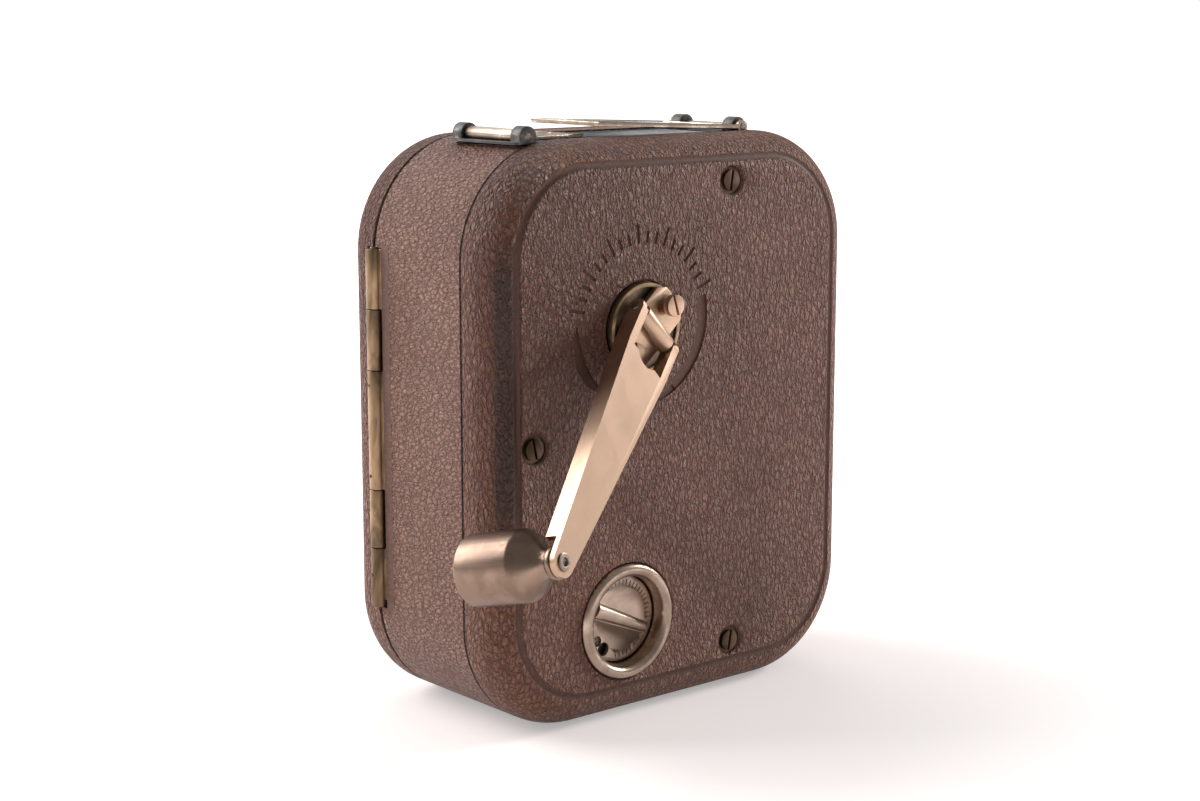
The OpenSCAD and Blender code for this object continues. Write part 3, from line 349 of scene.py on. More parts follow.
class Nodes:
    """Short ways to add and link shader nodes in one tree."""

    def __init__(self, tree):
        self.tree = tree

    def put(self, socket, value):
        if isinstance(value, bpy.types.NodeSocket):
            self.tree.links.new(value, socket)
        elif value is not None:
            socket.default_value = value

    def add(self, kind, values=None, **settings):
        n = self.tree.nodes.new(kind)
        for key, value in settings.items():
            setattr(n, key, value)
        for key, value in (values or {}).items():
            self.put(n.inputs[key], value)
        return n

    def math(self, operation, a, b=None):
        n = self.add("ShaderNodeMath", operation=operation)
        self.put(n.inputs[0], a)
        self.put(n.inputs[1], b)
        return n.outputs[0]

    def times(self, first, *others):
        """The product of all the values."""
        for other in others:
            first = self.math("MULTIPLY", first, other)
        return first

    def step(self, value, low, high, out_low=0.0, out_high=1.0):
        """Goes smoothly from out_low to out_high while value goes from low to high."""
        n = self.add("ShaderNodeMapRange", interpolation_type="SMOOTHSTEP")
        for key, v in (("Value", value), ("From Min", low), ("From Max", high),
                       ("To Min", out_low), ("To Max", out_high)):
            self.put(n.inputs[key], v)
        return n.outputs[0]

    def span(self, value, rise, full, fade, end):
        """Goes from 0 to 1 between rise and full, and back to 0 between fade and end, all in mm."""
        return self.times(self.step(value, mm(rise), mm(full)),
                          self.step(value, mm(fade), mm(end), 1.0, 0.0))

    def mix(self, factor, a, b, kind="RGBA"):
        n = self.add("ShaderNodeMix", data_type=kind)
        first, second, result = {"FLOAT": (2, 3, 0), "RGBA": (6, 7, 2)}[kind]
        self.put(n.inputs[0], factor)
        self.put(n.inputs[first], a)
        self.put(n.inputs[second], b)
        return n.outputs[result]

    def noise(self, vector, scale, detail=3.0, rough=0.5, warp=0.0):
        n = self.add("ShaderNodeTexNoise", {"Vector": vector, "Scale": scale, "Detail": detail,
                                            "Roughness": rough, "Distortion": warp})
        return n.outputs["Fac"]

    def cells(self, vector, scale, feature="DISTANCE_TO_EDGE"):
        n = self.add("ShaderNodeTexVoronoi", {"Vector": vector, "Scale": scale}, feature=feature)
        return n.outputs["Distance"]

    def place(self, scale=(1, 1, 1), offset=(0, 0, 0)):
        coords = self.add("ShaderNodeTexCoord")
        n = self.add("ShaderNodeMapping")
        self.put(n.inputs["Vector"], coords.outputs["Object"])
        n.inputs["Location"].default_value = offset
        n.inputs["Scale"].default_value = scale
        return n.outputs["Vector"]

    def group(self, tree, values):
        n = self.tree.nodes.new("ShaderNodeGroup")
        n.node_tree = tree
        for key, value in values.items():
            self.put(n.inputs[key], value)
        return n


def make_pebble_grain():
    """Pebbled leather: the grain's height, up to 1 on the tops, and how far a point lies in a crease."""
    tree, start, end = group("pebble_grain",
                             [("Vector", "NodeSocketVector"), ("Cells per mm", "NodeSocketFloat"),
                              ("Warp", "NodeSocketFloat")],
                             [("Height", "NodeSocketFloat"), ("Crease", "NodeSocketFloat")])
    t = Nodes(tree)
    per_m = t.times(start.outputs["Cells per mm"], 1000.0)
    wander = t.add("ShaderNodeTexNoise", {"Vector": start.outputs["Vector"], "Detail": 2.0})
    t.put(wander.inputs["Scale"], t.times(per_m, 0.9))
    shift = t.add("ShaderNodeVectorMath", operation="SUBTRACT")
    t.put(shift.inputs[0], wander.outputs["Color"])
    shift.inputs[1].default_value = (0.5, 0.5, 0.5)
    size = t.add("ShaderNodeVectorMath", operation="SCALE")
    t.put(size.inputs[0], shift.outputs[0])
    t.put(size.inputs["Scale"], t.math("DIVIDE", start.outputs["Warp"], per_m))
    warped = t.add("ShaderNodeVectorMath", operation="ADD")
    t.put(warped.inputs[0], start.outputs["Vector"])
    t.put(warped.inputs[1], size.outputs[0])
    v = warped.outputs[0]
    big = t.cells(v, per_m)
    fine = t.cells(v, t.times(per_m, 2.1))
    hair = t.noise(v, t.times(per_m, 5.0), 3.0, 0.6)
    dome = t.step(big, 0.0, 0.3)
    bulge = t.step(t.cells(v, per_m, feature="F1"), 0.05, 0.75, 1.0, 0.0)
    dome = t.mix(0.5, dome, bulge, kind="FLOAT")
    small = t.step(fine, 0.0, 0.3)
    swell = t.noise(v, t.times(per_m, 0.4), 2.0)
    height = t.math("ADD", t.times(dome, 0.62), t.times(small, 0.26))
    height = t.math("ADD", height, t.times(hair, 0.12))
    height = t.times(height, t.step(swell, 0.3, 0.62, 0.6, 1.0))
    tree.links.new(height, end.inputs["Height"])
    tree.links.new(t.step(height, 0.1, 0.55, 1.0, 0.0), end.inputs["Crease"])
    return tree


def make_outline_inset():
    """How far a point lies inside an upright rounded outline, in metres."""
    tree, start, end = group("outline_inset",
                             [("Vector", "NodeSocketVector")]
                             + [(key, "NodeSocketFloat") for key in OUTLINE_KEYS],
                             [("Inset", "NodeSocketFloat")])
    t = Nodes(tree)
    radius = start.outputs["Radius"]
    apart = t.add("ShaderNodeSeparateXYZ", {"Vector": start.outputs["Vector"]})
    over_x = t.math("SUBTRACT", t.math("ABSOLUTE", apart.outputs["X"]),
                    t.math("SUBTRACT", start.outputs["Half length"], radius))
    up = t.math("SUBTRACT", apart.outputs["Z"], start.outputs["Middle"])
    over_z = t.math("SUBTRACT", t.math("ABSOLUTE", up),
                    t.math("SUBTRACT", start.outputs["Half height"], radius))
    past_x, past_z = t.math("MAXIMUM", over_x, 0.0), t.math("MAXIMUM", over_z, 0.0)
    far = t.math("SQRT", t.math("ADD", t.times(past_x, past_x), t.times(past_z, past_z)))
    near = t.math("MINIMUM", t.math("MAXIMUM", over_x, over_z), 0.0)
    inset = t.math("SUBTRACT", radius, t.math("ADD", far, near))
    tree.links.new(inset, end.inputs["Inset"])
    return tree


def make_scuffs():
    """Fine scratches and smudges on metal, both from 0 to 1."""
    tree, start, end = group("metal_scuffs",
                             [("Vector", "NodeSocketVector"), ("Lines per mm", "NodeSocketFloat")],
                             [("Scratch", "NodeSocketFloat"), ("Smudge", "NodeSocketFloat")])
    t = Nodes(tree)
    per_m = t.times(start.outputs["Lines per mm"], 1000.0)
    fine = t.noise(start.outputs["Vector"], per_m, 4.0, 0.65)
    wide = t.noise(start.outputs["Vector"], t.times(per_m, 0.06), 4.0, 0.6, 0.6)
    tree.links.new(t.step(fine, 0.35, 0.7), end.inputs["Scratch"])
    tree.links.new(t.step(wide, 0.36, 0.66), end.inputs["Smudge"])
    return tree


PEBBLES = make_pebble_grain()
INSET = make_outline_inset()
SCUFFS = make_scuffs()


# Materials
def new_material(name, **constants):
    m = bpy.data.materials.new(name)
    m.use_nodes = True
    shader = m.node_tree.nodes["Principled BSDF"]
    for key, value in constants.items():
        shader.inputs[key.replace("_", " ")].default_value = value
    return m, Nodes(m.node_tree), shader


def bump(t, height, distance, strength=1.0):
    n = t.add("ShaderNodeBump", {"Height": height})
    n.inputs["Distance"].default_value = distance
    n.inputs["Strength"].default_value = strength
    return n.outputs["Normal"]


# The leather's colours
TAN = (0.42, 0.165, 0.068, 1)
# Painted sheen: the leather is drawn paler towards the foot, where the light glances off it
FOOT_SHEEN = (0.5, 0.262, 0.185, 1)
# Painted shade: the dark red brown about SHADE_SPOT
UPPER_LEFT_SHADE = (0.13, 0.036, 0.018, 1)
# Painted highlight: the grain's tops are drawn pale, as where the light catches them
GRAIN_HIGHLIGHT = (0.5, 0.3, 0.235, 1)
# Painted shade: the dark red brown in the grain's creases
CREASE_SHADE = (0.075, 0.018, 0.009, 1)
PRESSED = (0.07, 0.03, 0.02, 1)
# Worn smooth, and dark as painted shade, on the left edge of the faces
POLISHED_AND_SHADED = (0.03, 0.012, 0.008, 1)
SEAM_SHADE = (0.016, 0.008, 0.006, 1)
FACE_BROWNS = ((0.385, 0.168, 0.11, 1), (0.295, 0.116, 0.071, 1))
# Painted light: the band's browns are the faces' browns drawn lighter, as the band takes more light
LIT_BAND_BROWNS = ((0.5, 0.255, 0.182, 1), (0.4, 0.19, 0.13, 1))

# Painted shade: the leather is drawn darkest and reddest about this place above and left of the hub,
# where the light falls off
SHADE_SPOT = (-26, 0, 86)


def inset_of(t, coords, outline):
    """How far a point lies inside an upright rounded outline."""
    values = {key: mm(value) for key, value in zip(OUTLINE_KEYS, outline)}
    return t.group(INSET, {"Vector": coords, **values}).outputs["Inset"]


def seam_distance(t, y, seams):
    """How far a point lies from the nearest seam."""
    away = None
    for place in seams:
        d = t.math("ABSOLUTE", t.math("SUBTRACT", y, mm(place)))
        away = d if away is None else t.math("MINIMUM", away, d)
    return away


def rubbed_places(t, away, inset, z, cloud, spots):
    """Where the leather is rubbed: in spots beside the seams, and on the faces' rounded edges."""
    edge = t.times(t.step(away, mm(0.5), mm(1.6), 1.0, 0.0), 0.55)
    foot_or_top = t.math("MAXIMUM", t.step(z, mm(10), mm(50), 1.0, 0.6), t.step(z, mm(98), mm(106)))
    rubbed = t.times(t.span(inset, 0.2, 1.6, 3.6, 6.4), foot_or_top,
                     t.step(cloud, 0.38, 0.56), t.step(spots, 0.38, 0.54))
    return t.math("MAXIMUM", rubbed, t.times(edge, t.step(spots, 0.44, 0.56)))


def leather_brown(t, coords, z, height, cloud, painted_shade, tones):
    """The brown in clouds of two tones, lighter towards the foot as painted sheen,
    darker and redder about SHADE_SPOT as painted shade, and palest on the grain tops as painted highlight.
    """
    brown = t.mix(t.step(cloud, 0.34, 0.66), *tones)
    # Painted sheen: paler towards the foot
    brown = t.mix(t.step(z, mm(10), mm(70), 0.4, 0.0), brown, FOOT_SHEEN)
    # Painted shade: darker and redder near SHADE_SPOT, by as much as painted_shade
    shade_pool = t.add("ShaderNodeVectorMath", {0: coords, 1: mm(*SHADE_SPOT)}, operation="DISTANCE")
    shade_pool = t.times(t.step(shade_pool.outputs["Value"], mm(16), mm(58), 0.62, 0.0), painted_shade)
    brown = t.mix(shade_pool, brown, UPPER_LEFT_SHADE)
    # Painted highlight: paler on the grain's tops
    return t.mix(t.times(t.step(height, 0.5, 0.9), 0.3), brown, GRAIN_HIGHLIGHT)


def pressed_face(t, coords, front, inset):
    """Where a face's leather is flat: in the tooled line, and wherever it is sunk below the face."""
    off = t.math("ABSOLUTE", inset_of(t, coords, LINE))
    line = t.times(t.step(off, mm(0.5), mm(0.85), 1.0, 0.0), t.step(front, mm(12.5), mm(13.5)))
    below = t.step(front, mm(BODY_T / 2 - 0.22), mm(BODY_T / 2 - 0.1), 1.0, 0.0)
    return t.math("MAXIMUM", line, t.times(below, t.step(inset, mm(8.4), mm(9.2))))


def edge_wear_and_shade(t, x, z, inset, spots):
    """Where the left edge of a face is worn smooth, and drawn dark as painted shade."""
    return t.times(t.span(inset, 1.8, 2.8, 5.6, 6.8), t.step(x, mm(-41), mm(-36), 1.0, 0.0),
                   t.span(z, 26, 48, 84, 94), t.step(spots, 0.3, 0.5, 0.55, 1.0))


def hinge_press(t, x, y, z):
    """Where the leather beside the hinge is pressed flat."""
    return t.times(t.step(y, mm(DOOR_SEAM - 5.0), mm(DOOR_SEAM - 4.5)),
                   t.step(x, mm(-45), mm(-44), 1.0, 0.0), t.span(z, 18, 20, 88, 90))


def leather_material(name, seams, cells=1.12, stretch=(1.0, 1.0, 0.5), line_side=0, rub=1.0, painted_shade=1.0,
                     tones=FACE_BROWNS):
    """Brown pebbled leather.

    seams are the places of its worn edges in Y, in mm. cells is the number of pebbles in a mm, and
    stretch scales them along each axis. line_side is -1 or 1 on a face with a tooled line. rub is how
    much it is worn to tan, painted_shade how much painted shade darkens it about SHADE_SPOT, and tones
    are its two browns.
    """
    m, t, shader = new_material(name, Specular_IOR_Level=0.5, Sheen_Weight=0.05, Sheen_Roughness=0.4,
                                Sheen_Tint=(0.95, 0.82, 0.78, 1))
    coords = t.place()
    apart = t.add("ShaderNodeSeparateXYZ", {"Vector": coords})
    x, y, z = (apart.outputs[k] for k in "XYZ")
    inset = inset_of(t, coords, OUTLINE)
    grain = t.group(PEBBLES, {"Vector": t.place(scale=stretch), "Cells per mm": cells, "Warp": 1.1})
    height, crease = grain.outputs["Height"], grain.outputs["Crease"]
    cloud = t.noise(coords, 55.0, 4.0, 0.6, 0.4)
    spots = t.noise(coords, 330.0, 4.0, 0.7)
    flecks = t.step(t.noise(coords, 900.0, 3.0, 0.6), 0.6, 0.7)
    away = seam_distance(t, y, seams)
    rubbed = t.times(rubbed_places(t, away, inset, z, cloud, spots), rub)
    colour = leather_brown(t, coords, z, height, cloud, painted_shade, tones)
    colour = t.mix(t.times(rubbed, 0.85), colour, TAN)
    colour = t.mix(t.times(flecks, 0.5), colour, TAN)
    # Painted shade: darker in the grain's creases
    colour = t.mix(t.times(crease, 0.64), colour, CREASE_SHADE)
    rough = t.mix(height, 0.6, 0.34, kind="FLOAT")
    if line_side:
        flat = pressed_face(t, coords, t.times(y, float(line_side)), inset)
        # The left edge: worn smoother, and darkened as painted shade
        worn = edge_wear_and_shade(t, x, z, inset, spots)
        colour = t.mix(t.times(worn, 0.9), colour, POLISHED_AND_SHADED)
        height = t.mix(t.times(worn, 0.7), height, 0.5, kind="FLOAT")
    else:
        flat = hinge_press(t, x, y, z)
    colour = t.mix(t.times(flat, 0.8), colour, PRESSED)
    height = t.mix(flat, height, 0.35, kind="FLOAT")
    rough = t.mix(flat, rough, 0.62, kind="FLOAT")
    gap = t.step(away, mm(0.2), mm(0.5), 1.0, 0.0)
    t.put(shader.inputs["Base Color"], t.mix(t.times(gap, 0.8), colour, SEAM_SHADE))
    t.put(shader.inputs["Roughness"], rough)
    t.put(shader.inputs["Normal"], bump(t, height, mm(1.7)))
    return m


def metal_material(name, colour, dark, rough=(0.16, 0.34), lines=3.0, stretch=(1, 1, 1), depth=0.004,
                   tarnish=0.5):
    """Scuffed metal: colour where it is clean and dark where it is smudged, by as much as tarnish.

    rough is its roughness where clean and where worn, lines is the number of scratches in a mm,
    stretch scales them along each axis, and depth is how deep they are, in mm.
    """
    m, t, shader = new_material(name, Metallic=1.0)
    v = t.place(scale=stretch)
    marks = t.group(SCUFFS, {"Vector": v, "Lines per mm": lines})
    smudge, scratch = marks.outputs["Smudge"], marks.outputs["Scratch"]
    t.put(shader.inputs["Base Color"], t.mix(t.times(smudge, tarnish), colour, dark))
    wear = t.math("ADD", t.times(scratch, 0.35), t.times(smudge, 0.65))
    t.put(shader.inputs["Roughness"], t.mix(wear, rough[0], rough[1], kind="FLOAT"))
    t.put(shader.inputs["Normal"], bump(t, scratch, mm(depth), 0.6))
    return m


def enamel_material(name):
    """Black enamel rubbed to grey metal in scattered spots."""
    m, t, shader = new_material(name, Specular_IOR_Level=0.5)
    v = t.place()
    worn = t.step(t.noise(v, 420.0, 5.0, 0.65), 0.5, 0.68)
    t.put(shader.inputs["Base Color"], t.mix(worn, (0.018, 0.017, 0.016, 1), (0.16, 0.145, 0.13, 1)))
    t.put(shader.inputs["Metallic"], t.times(worn, 0.8))
    t.put(shader.inputs["Roughness"], t.mix(worn, 0.42, 0.3, kind="FLOAT"))
    t.put(shader.inputs["Normal"], bump(t, t.noise(v, 2500.0, 2.0), mm(0.01), 0.4))
    return m


def glass_material(name):
    """Clear glass with a faint film on it."""
    m, t, shader = new_material(name, Transmission_Weight=1.0, IOR=1.5)
    v = t.place()
    film = t.step(t.noise(v, 130.0, 4.0, 0.6), 0.4, 0.7)
    t.put(shader.inputs["Roughness"], t.mix(film, 0.01, 0.07, kind="FLOAT"))
    t.put(shader.inputs["Base Color"], t.mix(film, (0.95, 0.98, 0.98, 1), (0.86, 0.9, 0.9, 1)))
    return m


# How much the floor glows under the object; far from it the glow is 1
FLOOR_GLOW = 0.36


def floor_material():
    """Pale paper: it takes the shadow near the object, and is near white to the camera further off."""
    m, t, shader = new_material("pale_floor", Roughness=0.7, Specular_IOR_Level=0.15,
                                Base_Color=(0.83, 0.755, 0.735, 1))
    paths = t.add("ShaderNodeLightPath")
    seen = t.math("MAXIMUM", paths.outputs["Is Camera Ray"],
                  t.math("MAXIMUM", paths.outputs["Is Glossy Ray"], paths.outputs["Is Transmission Ray"]))
    glow = t.add("ShaderNodeEmission", {"Color": (1.0, 0.997, 0.99, 1)})
    place = t.add("ShaderNodeVectorMath", {0: t.place()}, operation="LENGTH")
    far = t.step(place.outputs["Value"], 0.06, 0.21)
    t.put(glow.inputs["Strength"], t.times(seen, t.mix(far, FLOOR_GLOW, 1.0, kind="FLOAT")))
    both = t.add("ShaderNodeAddShader")
    t.put(both.inputs[0], shader.outputs[0])
    t.put(both.inputs[1], glow.outputs[0])
    out = m.node_tree.nodes["Material Output"]
    m.node_tree.links.new(both.outputs[0], out.inputs["Surface"])
    return m


COVER_LEATHER = leather_material("cover_leather", (COVER_SEAM,), line_side=-1)
# The band is drawn in lighter browns as painted light
CASE_LEATHER = leather_material("band_leather", (COVER_SEAM, DOOR_SEAM), 1.15, (1.15, 0.62, 1.15),
                                rub=0.8, painted_shade=0.0, tones=LIT_BAND_BROWNS)
DOOR_LEATHER = leather_material("door_leather_brown", (DOOR_SEAM,), line_side=1)
NICKEL = metal_material("warm_nickel", (0.49, 0.335, 0.24, 1), (0.38, 0.255, 0.18, 1), (0.32, 0.44),
                        depth=0.0015)
# Painted shade: the knob's nickel is the arm's nickel drawn darker, standing for its dimmer reflections
SHADED_GRIP_NICKEL = metal_material("shaded_grip_nickel", (0.27, 0.185, 0.14, 1), (0.14, 0.095, 0.072, 1), (0.3, 0.42),
                             depth=0.002)
RIM_NICKEL = metal_material("rim_nickel", (0.46, 0.345, 0.275, 1), (0.2, 0.145, 0.11, 1), (0.26, 0.4))
DIAL_NICKEL = metal_material("dial_nickel", (0.54, 0.42, 0.345, 1), (0.3, 0.225, 0.18, 1), (0.36, 0.5))
OLD_BRASS = metal_material("worn_plated_brass", (0.33, 0.22, 0.13, 1), (0.065, 0.042, 0.027, 1), (0.3, 0.5),
                           stretch=(1, 1, 0.3), tarnish=0.9)
BRASS = metal_material("clean_brass", (0.72, 0.52, 0.25, 1), (0.4, 0.27, 0.12, 1), (0.2, 0.38))
STEEL = metal_material("turned_steel", (0.3, 0.24, 0.2, 1), (0.13, 0.1, 0.08, 1), (0.3, 0.46))
PLATE = metal_material("grained_plate", (0.6, 0.58, 0.55, 1), (0.4, 0.38, 0.35, 1), (0.3, 0.45), lines=8.0,
                       stretch=(0.05, 1, 1))
AGED_NICKEL = metal_material("aged_nickel", (0.55, 0.45, 0.36, 1), (0.2, 0.15, 0.11, 1), (0.2, 0.42),
                             tarnish=0.7)
# Dark old steel; on the sunk cover screws its darkness is also painted shade of their deep holes
OLD_STEEL = metal_material("aged_steel", (0.13, 0.082, 0.055, 1), (0.03, 0.019, 0.013, 1), (0.45, 0.62),
                           tarnish=0.85)
HUB_METAL = metal_material("dark_dish", (0.26, 0.19, 0.135, 1), (0.11, 0.078, 0.055, 1), (0.42, 0.56),
                           tarnish=0.8)
KNURL_METAL = metal_material("knurled_nickel", (0.6, 0.48, 0.39, 1), (0.25, 0.19, 0.15, 1), (0.2, 0.35))
DARK_SHEET = metal_material("dark_sheet", (0.14, 0.09, 0.062, 1), (0.04, 0.025, 0.018, 1), (0.45, 0.62))
CASE_METAL = metal_material("dull_sheet", (0.45, 0.44, 0.42, 1), (0.2, 0.19, 0.18, 1), (0.4, 0.6))
ENAMEL = enamel_material("black_enamel")
GLASS = glass_material("clear_glass")

BY_SLOT = {"leather": CASE_LEATHER, "case_metal": CASE_METAL, "black_metal": ENAMEL, "nickel": NICKEL,
           "steel": STEEL, "plate_metal": PLATE, "hinge_brass": OLD_BRASS, "brass": BRASS, "glass": GLASS}
BY_NODE = {"crank_cover": DARK_SHEET}
slot_of = {s["node"]: s["material_slot"] for s in frame["record"]["subparts"]}
for name, node in nodes.items():
    for spot in node.material_slots:
        spot.material = BY_NODE.get(name, BY_SLOT[slot_of[name]])


# Leather skins
def rounded_depth(inset, radius):
    """Depth below the face of a quarter-round edge at an inset from the outline."""
    if inset >= radius:
        return 0.0
    return radius - math.sqrt(max(0.0, radius * radius - (radius - inset) ** 2))


def inset_from(outline, x, z):
    """How far a point lies inside an upright rounded outline; below 0 it lies outside."""
    half_l, half_h, middle, r = outline
    over_x, over_z = abs(x) - (half_l - r), abs(z - middle) - (half_h - r)
    return r - (math.hypot(max(over_x, 0), max(over_z, 0)) + min(max(over_x, over_z), 0))


def outline_face(name, y):
    """The body's rounded outline as one face standing at y."""
    bpy.ops.mesh.primitive_plane_add(size=1, location=mm(0, y, BODY_H / 2), rotation=(math.pi / 2, 0, 0))
    o = named(name)
    o.scale = (mm(BODY_L), mm(BODY_H), 1)
    bake_place(o)
    edit(o, "VERT")
    bpy.ops.mesh.bevel(offset=mm(CORNER_R), segments=28, affect="VERTICES")
    bpy.ops.mesh.select_mode(type="FACE")
    bpy.ops.mesh.select_all(action="SELECT")
    return o


def thicken(o):
    """Turns an open sheet of leather outside out and makes it one skin thick."""
    outward(o)
    back = min(o.data.polygons, key=lambda f: f.center.x)
    if back.normal.x > 0:
        edit(o)
        bpy.ops.mesh.flip_normals()
        object_mode()
    return modifier(o, "SOLIDIFY", thickness=mm(LEATHER_T), offset=-1.0, use_even_offset=True)


def outer_side(o):
    """The vertices on the outside of a thickened sheet, which come first."""
    return o.data.vertices[:len(o.data.vertices) // 2]


def soften(o, edge, draw):
    """Draws the outside in at a cut edge, so that the seam shows as a rounded valley."""
    for v in outer_side(o):
        x, y, z = v.co * 1000
        if abs(y - edge) < 0.01:
            away = Vector((x, z - BODY_H / 2)).normalized()
            v.co += mm(-away.x * draw, 0, -away.y * draw)


def face_insets(edge_r):
    """Insets that round a face's edge off and then cross the tooled line in small steps."""
    round_edge = [edge_r * (1 - math.cos(math.radians(a))) for a in range(6, 48, 6)]
    across_line = np.arange(round_edge[-1] + RING_W, LINE_SIDE + RINGS_IN, RING_W)
    return round_edge + list(across_line)


def dished_skin(name, face_y, seam_y, edge_r, lip, draw):
    """Leather over a dished cover: wall, rounded edge and face, with the tooled line pressed in."""
    out = -1 if face_y < 0 else 1
    base = seam_y + out * SEAM_GAP
    wall = abs(seam_y - face_y) - SEAM_GAP - edge_r
    o = outline_face(name, base)
    extrude_y(out * lip, out * lip, out * (wall - 2 * lip))
    last = 0.0
    for inset in face_insets(edge_r):
        bpy.ops.mesh.inset(thickness=mm(inset - last), depth=0, use_even_offset=True)
        last = inset
    object_mode()
    for v in o.data.vertices:
        x, y, z = v.co * 1000
        if abs(y - (base + out * wall)) < 0.01:
            v.co.y = mm(face_y - out * rounded_depth(max(0.0, inset_from(OUTLINE, x, z)), edge_r))
    open_ends(o, (base,))
    thicken(o)
    soften(o, base, draw)
    # the tooled line is pressed into the outside alone
    for v in outer_side(o):
        x, y, z = v.co * 1000
        if inset_from(OUTLINE, x, z) > 2:
            off = abs(inset_from(LINE, x, z)) / LINE_HALF_W
            v.co.y -= out * mm(LINE_DEPTH) * max(0.0, 1 - off ** 2)
    return o


def band_skin():
    """The leather round the case between the two covers, with its openings."""
    y0, y1 = COVER_SEAM + SEAM_GAP, DOOR_SEAM - SEAM_GAP
    o = outline_face("band_leather_skin", y0)
    middle = y1 - y0 - 2 * COVER_LIP - 2 * DOOR_LIP
    extrude_y(COVER_LIP, COVER_LIP, middle, DOOR_LIP, DOOR_LIP)
    open_ends(o, (y0, y1))
    thicken(o)
    soften(o, y0, COVER_DRAW)
    soften(o, y1, DOOR_DRAW)
    return cut(o, brick("hinge_room", *HINGE_ROOM), brick("finder_room", *FINDER_ROOM),
               rod("lens_hole", (40, *LENS), (1, 0, 0), 10, LENS_HOLE_R, 72),
               rod("catch_hole", (40, *CATCH), (1, 0, 0), 10, CATCH_HOLE_R),
               rod("socket_hole", (0, 0, -1), (0, 0, 1), 5, SOCKET_HOLE_R, 64))


def hole(x, z, radius, flare):
    """Cutter for a round hole in the cover's leather, whose rim is pressed in."""
    profile = [(0, -3), (radius, -3), (radius, -0.5), (radius + flare * 0.3, -0.2),
               (radius + flare, 0.03), (radius + flare, 1), (0, 1)]
    return turned("hole_cutter", profile, (x, COVER_FACE, z), (0, -1, 0), steps=48)


def pressed_arrow():
    """Cutters for the pressed arrow and ring of ticks round the hub."""
    y0, y1 = COVER_FACE - 1, COVER_FACE + MARK_DEPTH
    outer = ((178, 15.9), (-170, 16.9), (-155, 17.7), (-142, 17.4), (-128, 16.3))
    inner = ((-128, 15.6), (-142, 15.3), (-155, 15.3), (-170, 15.4))
    outlines = {"arrow_arc": band_points(MARKS, ARROW_IN, ARROW_OUT, ARROW_START, TAIL_START),
                "arrow_tail": band_points(MARKS, TAIL_IN, ARROW_OUT, TAIL_START, TAIL_END),
                "arrow_head": [on_ring(MARKS, r, math.radians(a)) for a, r in outer + inner]}
    made = [prism(name, points, y0, y1) for name, points in outlines.items()]
    for i in range(TICK_COUNT):
        end = LONG_TICK_OUT if i % 3 == 0 else TICK_OUT
        made.append(bar("tick_%d" % i, MARKS, math.radians(TICK_START + TICK_STEP * i), TICK_IN, end,
                        TICK_W, y0, y1))
    return made


cover_skin = dished_skin("cover_leather_skin", COVER_FACE, COVER_SEAM, COVER_EDGE_R, COVER_LIP, COVER_DRAW)
cut(cover_skin, hole(*HUB, HUB_HOLE_R, FLARE), hole(*COUNTER, COUNTER_HOLE_R, FLARE),
    *[hole(x, z, SCREW_HOLE_R, SCREW_FLARE) for x, z in SCREWS], *pressed_arrow())
finish_piece(cover_skin, "camera", "leather", COVER_LEATHER, "crank_cover_leather")

door_skin = dished_skin("door_leather_skin", DOOR_FACE, DOOR_SEAM, DOOR_EDGE_R, DOOR_LIP, DOOR_DRAW)
cut(door_skin, brick("hinge_room", *HINGE_ROOM))
finish_piece(door_skin, "film_door", "leather", DOOR_LEATHER, "door_leather")

finish_piece(band_skin(), "camera", "leather", CASE_LEATHER, "case_leather")


# Crank
HUB_DISH_R = 7.6
RIM_BRASS = (0.34, 0.235, 0.135, 1)


def brass_rim(m, centre, radius):
    """Turns a metal's colour to worn brass outside a radius, in mm, round an axis along Y."""
    t = Nodes(m.node_tree)
    shader = m.node_tree.nodes["Principled BSDF"]
    old = shader.inputs["Base Color"].links[0].from_socket
    apart = t.add("ShaderNodeSeparateXYZ", {"Vector": t.place(offset=mm(-centre[0], 0, -centre[1]))})
    x, z = apart.outputs["X"], apart.outputs["Z"]
    r = t.math("SQRT", t.math("ADD", t.times(x, x), t.times(z, z)))
    ring = t.times(t.step(r, mm(radius), mm(radius + 0.25)),
                   t.step(t.noise(t.place(), 500.0, 3.0), 0.36, 0.56, 0.35, 1.0))
    t.put(shader.inputs["Base Color"], t.mix(ring, old, RIM_BRASS))


brass_rim(HUB_METAL, HUB, HUB_DISH_R)
same_shape("hub_flange", "hub_dish", "crank", "hinge_brass", HUB_METAL, 0.2, 3)
same_shape("crank_bracket", "hinge_strap", "crank", "nickel", NICKEL, 0.18, 3)
same_shape("bracket_screws", "strap_screws", "crank", "nickel", NICKEL, 0.12)
same_shape("crank_arm", "folding_arm", "arm", "nickel", NICKEL, 0.16, 3)
same_shape("arm_pin", "arm_hinge_pin", "arm", "steel", STEEL, 0.15)
# The knob is drawn in darkened nickel as painted shade
same_shape("crank_knob", "crank_grip", "knob", "nickel", SHADED_GRIP_NICKEL, 0.3, 4)
same_shape("knob_rivet", "grip_rivet", "arm", "steel", STEEL, 0.15)

# Counter
same_shape("counter_bezel", "counter_rim", "camera", "nickel", RIM_NICKEL, 0.3, 3)


# Ticks round the dial, and numbers on the disc below it
DIAL_TICKS, WINDOW_TICKS = 48, range(24, 35)
DIAL_TICK_IN, DIAL_TICK_OUT, DIAL_TICK_W, DIAL_TICK_DEPTH = 6.4, 7.5, 0.26, 0.16
FIGURE_COUNT, FIGURE_R, FIGURE_SIZE, FIGURE_T = 12, 6.1, 1.9, 0.12


